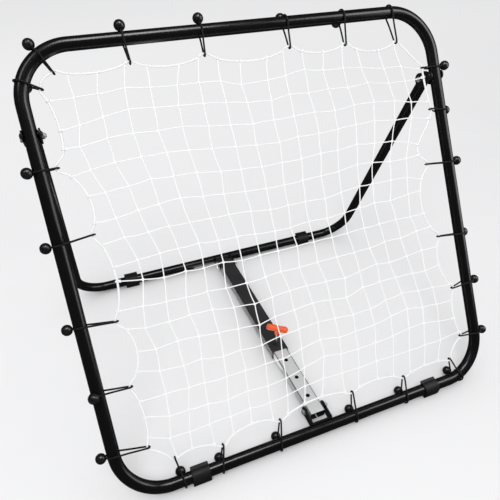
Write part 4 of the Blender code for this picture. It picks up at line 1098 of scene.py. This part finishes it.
# Knots of the square mesh, as (x, s): each row from left to right, its ends on the rope. None is left to the cords' pull.
N = None
ROWS = [
    [(-440, 849), (-389, 849), (-343, 850), (-286, 856), (-235, 850), (-177, 847), (-129, 846), (-80, 844), (-34, 831), (31, 833), (76, 837), (126, 845), (172, 838), (227, 837), (276, 833), (337, 823), (388, 822), (436, 810)],
    [(-428, 789), (-391, 795), (-342, 804), (-289, 812), (-236, 808), (-184, 805), (-129, 802), (-77, 797), (-29, 790), (30, 787), (77, 795), (125, 792), (179, 794), (231, 791), (287, 795), (346, 787), (393, 786), (439, 788)],
    [(-431, 753), (-401, 753), (-344, 761), (-290, 763), (-238, 760), (-185, 761), (-128, 753), (-78, 748), (-25, 742), (27, 744), (78, 745), (132, 747), (185, 743), (239, 749), (295, 748), (354, 743), (402, 734), (445, 725)],
    [(-430, 698), (-391, 704), (-341, 711), (-285, 713), (-231, 713), (-182, 710), (-130, 705), (-75, 700), (-27, 696), (30, 693), (79, 698), (133, 697), (185, 699), (235, 702), (288, 704), (346, 697), (396, 696), (437, 694)],
    [(-408, 653), (-373, 654), (-324, 658), (-276, 665), (-227, 661), (-176, 660), (-122, 653), (-74, 649), (-24, 646), (27, 647), (76, 647), (129, 651), (175, 650), (229, 656), (277, 651), (329, 648), (375, 638), (401, 628)],
    [(-409, 596), (-365, 599), (-317, 606), (-271, 610), (-223, 613), (-173, 607), (-126, 603), (-75, 599), (-24, 596), (22, 596), (70, 597), (118, 599), (167, 601), (220, 608), (262, 606), (311, 600), (360, 599), (395, 600)],
    [(-400, 555), (-357, 556), (-307, 556), (-261, 559), (-215, 558), (-167, 557), (-124, 556), (-71, 553), (-24, 547), (22, 548), (66, 548), (118, 545), (164, 551), (216, 556), (254, 555), (306, 554), (354, 552), (392, 543)],
    [(-387, 501), (-342, 504), (-294, 507), (-252, 508), (-205, 509), (-161, 505), (-116, 504), (-72, 500), (-24, 497), (17, 496), (66, 500), (114, 497), (163, 501), (206, 504), (249, 508), (295, 504), (349, 510), (381, 513)],
    [(-389, 470), (-341, 461), (-296, 454), (-247, 456), (-206, 453), (-160, 455), (-116, 449), (-71, 450), (-26, 450), (24, 450), (69, 450), (118, 450), (161, 451), (209, 453), (253, 454), (301, 455), (344, 453), (380, 452)],
    [(-399, 404), (-353, 406), (-303, 402), (-259, 400), (-210, 400), (-166, 396), (-117, 396), (-69, 398), (-28, 401), (19, 399), (68, 400), (121, 400), (170, 400), (214, 401), (259, 407), (306, 406), (356, 413), (393, 412)],
    [(-398, 367), (-359, 358), (-307, 358), (-260, 360), (-208, 358), (-158, 349), (-108, 344), (-63, 348), (-17, 351), (29, 352), (81, 349), (131, 345), (175, 351), (225, 358), (263, 353), (315, 357), (363, 361), (402, 362)],
    [(-399, 314), (-348, 307), (-298, 311), (-251, 308), (-205, 302), N, (-107, 293), (-65, 301), N, (35, 307), (82, 303), (126, 297), (176, 310), (225, 312), (273, 311), (324, 309), (362, 307), (403, 312)],
    [(-400, 273), (-351, 258), (-298, 253), (-256, 256), (-206, 246), (-164, 249), (-111, 245), (-62, 252), N, (39, 258), (85, 255), (135, 250), (186, 251), (233, 262), (282, 267), (332, 261), N, (429, 247)],
    [(-397, 209), (-350, 204), (-298, 201), (-261, 201), (-209, 198), N, (-112, 199), (-68, 198), N, (36, 214), (87, 206), (133, 207), (189, 209), (239, 217), (290, 223), (337, 214), N, (441, 207)],
    [(-393, 170), (-353, 153), (-309, 152), N, (-218, 145), N, (-118, 146), (-69, 150), N, (37, 171), (83, 164), N, N, (236, 166), (286, 172), (334, 172), N, (447, 163)],
    [(-404, 122), (-363, 105), (-318, 103), (-271, 105), N, N, N, N, N, N, N, N, N, N, N, N, N, (448, 125)],
]
TOP = [(-389, 902), (-334, 899), (-276, 906), (-230, 901), (-165, 897), (-120, 904), (-75, 897), (-27, 886), (36, 887), (80, 897), (130, 893), (180, 885), (232, 892), (273, 882), (329, 873), (373, 883)]
BOTTOM = [(-359, 53), (-322, 61), (-272, 51), (-222, 59), (-174, 69), (-125, 59), (-83, 59), (-36, 72), (11, 74), (73, 62), (115, 62), (170, 68), (216, 58), (267, 53), (313, 59), (356, 57)]

flat_rope = rope_line[:, [0, 2]]


def on_rope(point):
    """Nearest place on the border rope: its point and the rope's direction there."""
    i = int(np.argmin(((flat_rope - np.asarray(point, float)) ** 2).sum(1)))
    n = len(rope_line)
    tangent = rope_line[(i + 1) % n] - rope_line[i - 1]
    return rope_line[i], tangent / np.linalg.norm(tangent)


n_rows, n_cols = len(ROWS), len(ROWS[0]) - 2
grid = np.zeros((n_rows + 2, n_cols + 2, 2))
fixed = np.zeros((n_rows + 2, n_cols + 2), bool)
for i, line in enumerate(ROWS):
    for j, p in enumerate(line):
        if j in (0, n_cols + 1):
            q = on_rope(p)[0]
            grid[i + 1, j] = (q[0], q[2])
            fixed[i + 1, j] = True
        elif p is not None:
            grid[i + 1, j] = p
            fixed[i + 1, j] = True
        else:
            grid[i + 1, j] = (-372 + 50.0 * j - 30, 850 - 50.0 * i)
for j in range(1, n_cols + 1):
    for i, line in ((0, TOP), (n_rows + 1, BOTTOM)):
        q = on_rope(line[j - 1])[0]
        grid[i, j] = (q[0], q[2])
        fixed[i, j] = True
for _ in range(400):
    middle = (grid[:-2, 1:-1] + grid[2:, 1:-1] + grid[1:-1, :-2] + grid[1:-1, 2:]) / 4
    free = ~fixed[1:-1, 1:-1]
    inner_grid = grid[1:-1, 1:-1]
    inner_grid[free] = middle[free]
# out of plane: the net hangs a little slack, so it bellies behind the rope and each knot sits a little differently
belly = np.zeros(grid.shape[:2])
for i in range(1, n_rows + 1):
    for j in range(1, n_cols + 1):
        u, v = j / (n_cols + 1), i / (n_rows + 1)
        belly[i, j] = 3.0 * math.sin(math.pi * u) * math.sin(math.pi * v) + RNG.uniform(-0.9, 0.9)

NET_R = 1.3


def cord_points(points, levels, wave):
    """A cord through its knots: each bar bows a little, in the net's plane and out of it."""
    out = []
    for k in range(len(points)):
        out.append((points[k][0], levels[k] + wave, points[k][1]))
        if k + 1 < len(points):
            a, b = np.asarray(points[k], float), np.asarray(points[k + 1], float)
            gap = np.linalg.norm(b - a)
            if gap < 14:
                continue
            side = np.array((-(b - a)[1], (b - a)[0])) / gap
            bow, dip = RNG.uniform(-1.1, 1.1), RNG.uniform(-1.2, 1.2)
            for f, w in ((0.28, 0.8), (0.5, 1.0), (0.72, 0.8)):
                q = a + (b - a) * f + side * bow * w
                out.append((q[0], levels[k] + (levels[k + 1] - levels[k]) * f + dip * w, q[1]))
    return out


across, down, knots, lash = Cords(), Cords(), Cords(), Cords()
for i in range(1, n_rows + 1):
    across.add(smooth_path(cord_points(list(grid[i]), list(belly[i]), 0.55), 4.6), NET_R, 6)
for j in range(1, n_cols + 1):
    down.add(smooth_path(cord_points(list(grid[:, j]), list(belly[:, j]), -0.55), 4.6), NET_R, 6)
for i in range(1, n_rows + 1):
    for j in range(1, n_cols + 1):
        curve = knot_curve(RNG.uniform(2.5, 2.9), RNG.uniform(0.95, 1.2), 24)
        a, tilt = RNG.uniform(0, 2 * math.pi), RNG.uniform(-0.3, 0.3)
        turn = Matrix.Rotation(a, 3, "Y") @ Matrix.Rotation(tilt, 3, "X") @ Matrix.Rotation(math.pi / 2, 3, "X")
        centre = np.array((grid[i, j, 0], belly[i, j], grid[i, j, 1]))
        knots.add(np.array([(turn @ Vector(p))[:] for p in curve]) + centre, 1.2, 6, closed=True)


def lashing(point, inward):
    """Two turns of net cord round the border rope, closed by a small knot on the net's side."""
    centre, tangent = on_rope(point)
    n = np.array((0.0, 1.0, 0.0))
    side = np.cross(n, tangent)
    r = ROPE_R + 0.85
    turns, per = 2.2, 14
    path = []
    for k in range(int(turns * per) + 1):
        a = 2 * math.pi * k / per
        path.append(centre + r * (side * math.cos(a) + n * math.sin(a)) + tangent * (k / per - turns / 2) * 2.3)
    lash.add(path, 1.15, 6)
    inward = np.asarray((inward[0] - centre[0], 0.0, inward[1] - centre[2]))
    inward /= np.linalg.norm(inward)
    curve = knot_curve(2.5, 1.0, 24)
    a = RNG.uniform(0, 2 * math.pi)
    turn = Matrix.Rotation(a, 3, "Y") @ Matrix.Rotation(math.pi / 2, 3, "X")
    lash.add(np.array([(turn @ Vector(p))[:] for p in curve]) + centre + inward * (ROPE_R + 2.6), 1.15, 6, closed=True)


for i in range(1, n_rows + 1):
    lashing(grid[i, 0], grid[i, 1])
    lashing(grid[i, -1], grid[i, -2])
for j in range(1, n_cols + 1):
    lashing(grid[0, j], grid[1, j])
    lashing(grid[-1, j], grid[-2, j])
across.piece("net_cords_across", "net", "front_frame", ["net_panel"], FRONT)
down.piece("net_cords_down", "net", "front_frame", ["net_panel"], FRONT)
knots.piece("net_knots", "net", "front_frame", ["net_panel"], FRONT)
lash.piece("net_lashings", "net", "front_frame", ["net_panel"], FRONT)

# =====================================================================
# floor, light and camera
# =====================================================================
bm = bmesh.new()
rings = []
for r in (0.0, 0.6, 1.2, 2.4, 5.0, 12.0, 30.0):
    rings.append([bm.verts.new((0, 0, -0.0004))] if r == 0 else [bm.verts.new((r * math.cos(2 * math.pi * k / 64), r * math.sin(2 * math.pi * k / 64), -0.0004)) for k in range(64)])
for first, second in zip(rings, rings[1:]):
    for k in range(64):
        m = (k + 1) % 64
        bm.faces.new((first[0], second[k], second[m]) if len(first) == 1 else (first[k], second[k], second[m], first[m]))
mesh = bpy.data.meshes.new("studio_floor")
bm.to_mesh(mesh)
bm.free()
floor = bpy.data.objects.new("studio_floor", mesh)
bpy.context.scene.collection.objects.link(floor)
p = Paint("pale_floor", 0.9, specular=0.1)
where = p.tree.nodes.new("ShaderNodeTexCoord")
depth = p.tree.nodes.new("ShaderNodeSeparateXYZ")
p.link(where.outputs["Object"], depth.inputs[0])
paper = p.mix(p.spread(p.noise(1.5), 0, 1), (0.80, 0.80, 0.81), (0.82, 0.82, 0.83))
# painted light: the floor is coloured brighter towards the back, from 0.7 m to 3 m along +Y
p.colour(p.mix(p.spread(depth.outputs[1], 0.0, 1.0, 0.7, 3.0), paper, (0.90, 0.90, 0.91)))
mesh.materials.append(p.mat)
floor.visible_glossy = False


def softbox(name, place, aim, size, power, fills=True, shines=True):
    """A rectangular studio lamp; one that only shines is seen in the gloss of the paint and lights nothing else."""
    light = bpy.data.lights.new(name, "AREA")
    light.shape = "RECTANGLE"
    light.size, light.size_y = size
    light.energy = power
    obj = bpy.data.objects.new(name, light)
    bpy.context.scene.collection.objects.link(obj)
    obj.location = place
    obj.rotation_euler = (Vector(aim) - Vector(place)).to_track_quat("-Z", "Y").to_euler()
    obj.visible_diffuse = fills
    obj.visible_glossy = shines
    return obj


softbox("key", (-1.4, -2.6, 4.6), (0.0, 0.1, 0.3), (2.6, 2.6), 105, shines=False)
softbox("overhead", (0.0, -0.45, 2.4), (-0.1, -0.1, 0.4), (0.8, 0.75), 19, fills=False)
softbox("overhead_right", (1.4, -0.95, 2.2), (0.2, -0.1, 0.4), (0.8, 0.8), 8.5, fills=False)
softbox("overhead_left", (-1.25, -0.3, 2.25), (0.0, -0.1, 0.4), (0.6, 0.8), 4.5, fills=False)
softbox("right_panel", (1.6, -0.75, 1.1), (0.0, -0.1, 0.5), (1.15, 1.7), 15, fills=False)
softbox("floor_bounce", (-0.062, 0.16, -0.004), (-0.062, 0.16, 1.0), (0.075, 0.62), 0.3, fills=False)

world = bpy.data.worlds.new("studio")
bpy.context.scene.world = world
world.use_nodes = True
tree = world.node_tree
for node in list(tree.nodes):
    tree.nodes.remove(node)
path = tree.nodes.new("ShaderNodeLightPath")
white = tree.nodes.new("ShaderNodeBackground")
white.inputs["Color"].default_value = (1.0, 1.0, 1.0, 1.0)
white.inputs["Strength"].default_value = 0.85
dark = tree.nodes.new("ShaderNodeBackground")
dark.inputs["Color"].default_value = (1.0, 1.0, 1.0, 1.0)
dark.inputs["Strength"].default_value = 0.05
mixer = tree.nodes.new("ShaderNodeMixShader")
out = tree.nodes.new("ShaderNodeOutputWorld")
tree.links.new(path.outputs["Is Glossy Ray"], mixer.inputs["Fac"])
tree.links.new(white.outputs[0], mixer.inputs[1])
tree.links.new(dark.outputs[0], mixer.inputs[2])
tree.links.new(mixer.outputs[0], out.inputs["Surface"])

scene = bpy.context.scene
scene.view_settings.view_transform = "Standard"
camera = bpy.data.cameras.new("camera")
eye = bpy.data.objects.new("camera", camera)
scene.collection.objects.link(eye)
right = Vector((0.92217943, -0.38673523, 0.00457809))
down_axis = Vector((-0.23389014, -0.56706575, -0.78976695))
ahead = Vector((0.30802678, 0.72723607, -0.61338993))
pose = Matrix.Identity(4)
for k in range(3):
    pose[k][0], pose[k][1], pose[k][2] = right[k], -down_axis[k], -ahead[k]
pose.translation = Vector((-0.445637, -0.978848, 1.100119))
eye.matrix_world = pose
camera.sensor_width = 36.0
camera.lens = 36.0 * 506.5187 / 500.0
camera.shift_x = (250 - 254.3137) / 500
camera.shift_y = (262.2937 - 250) / 500
camera.clip_start = 0.01
camera.clip_end = 100.0
scene.camera = eye
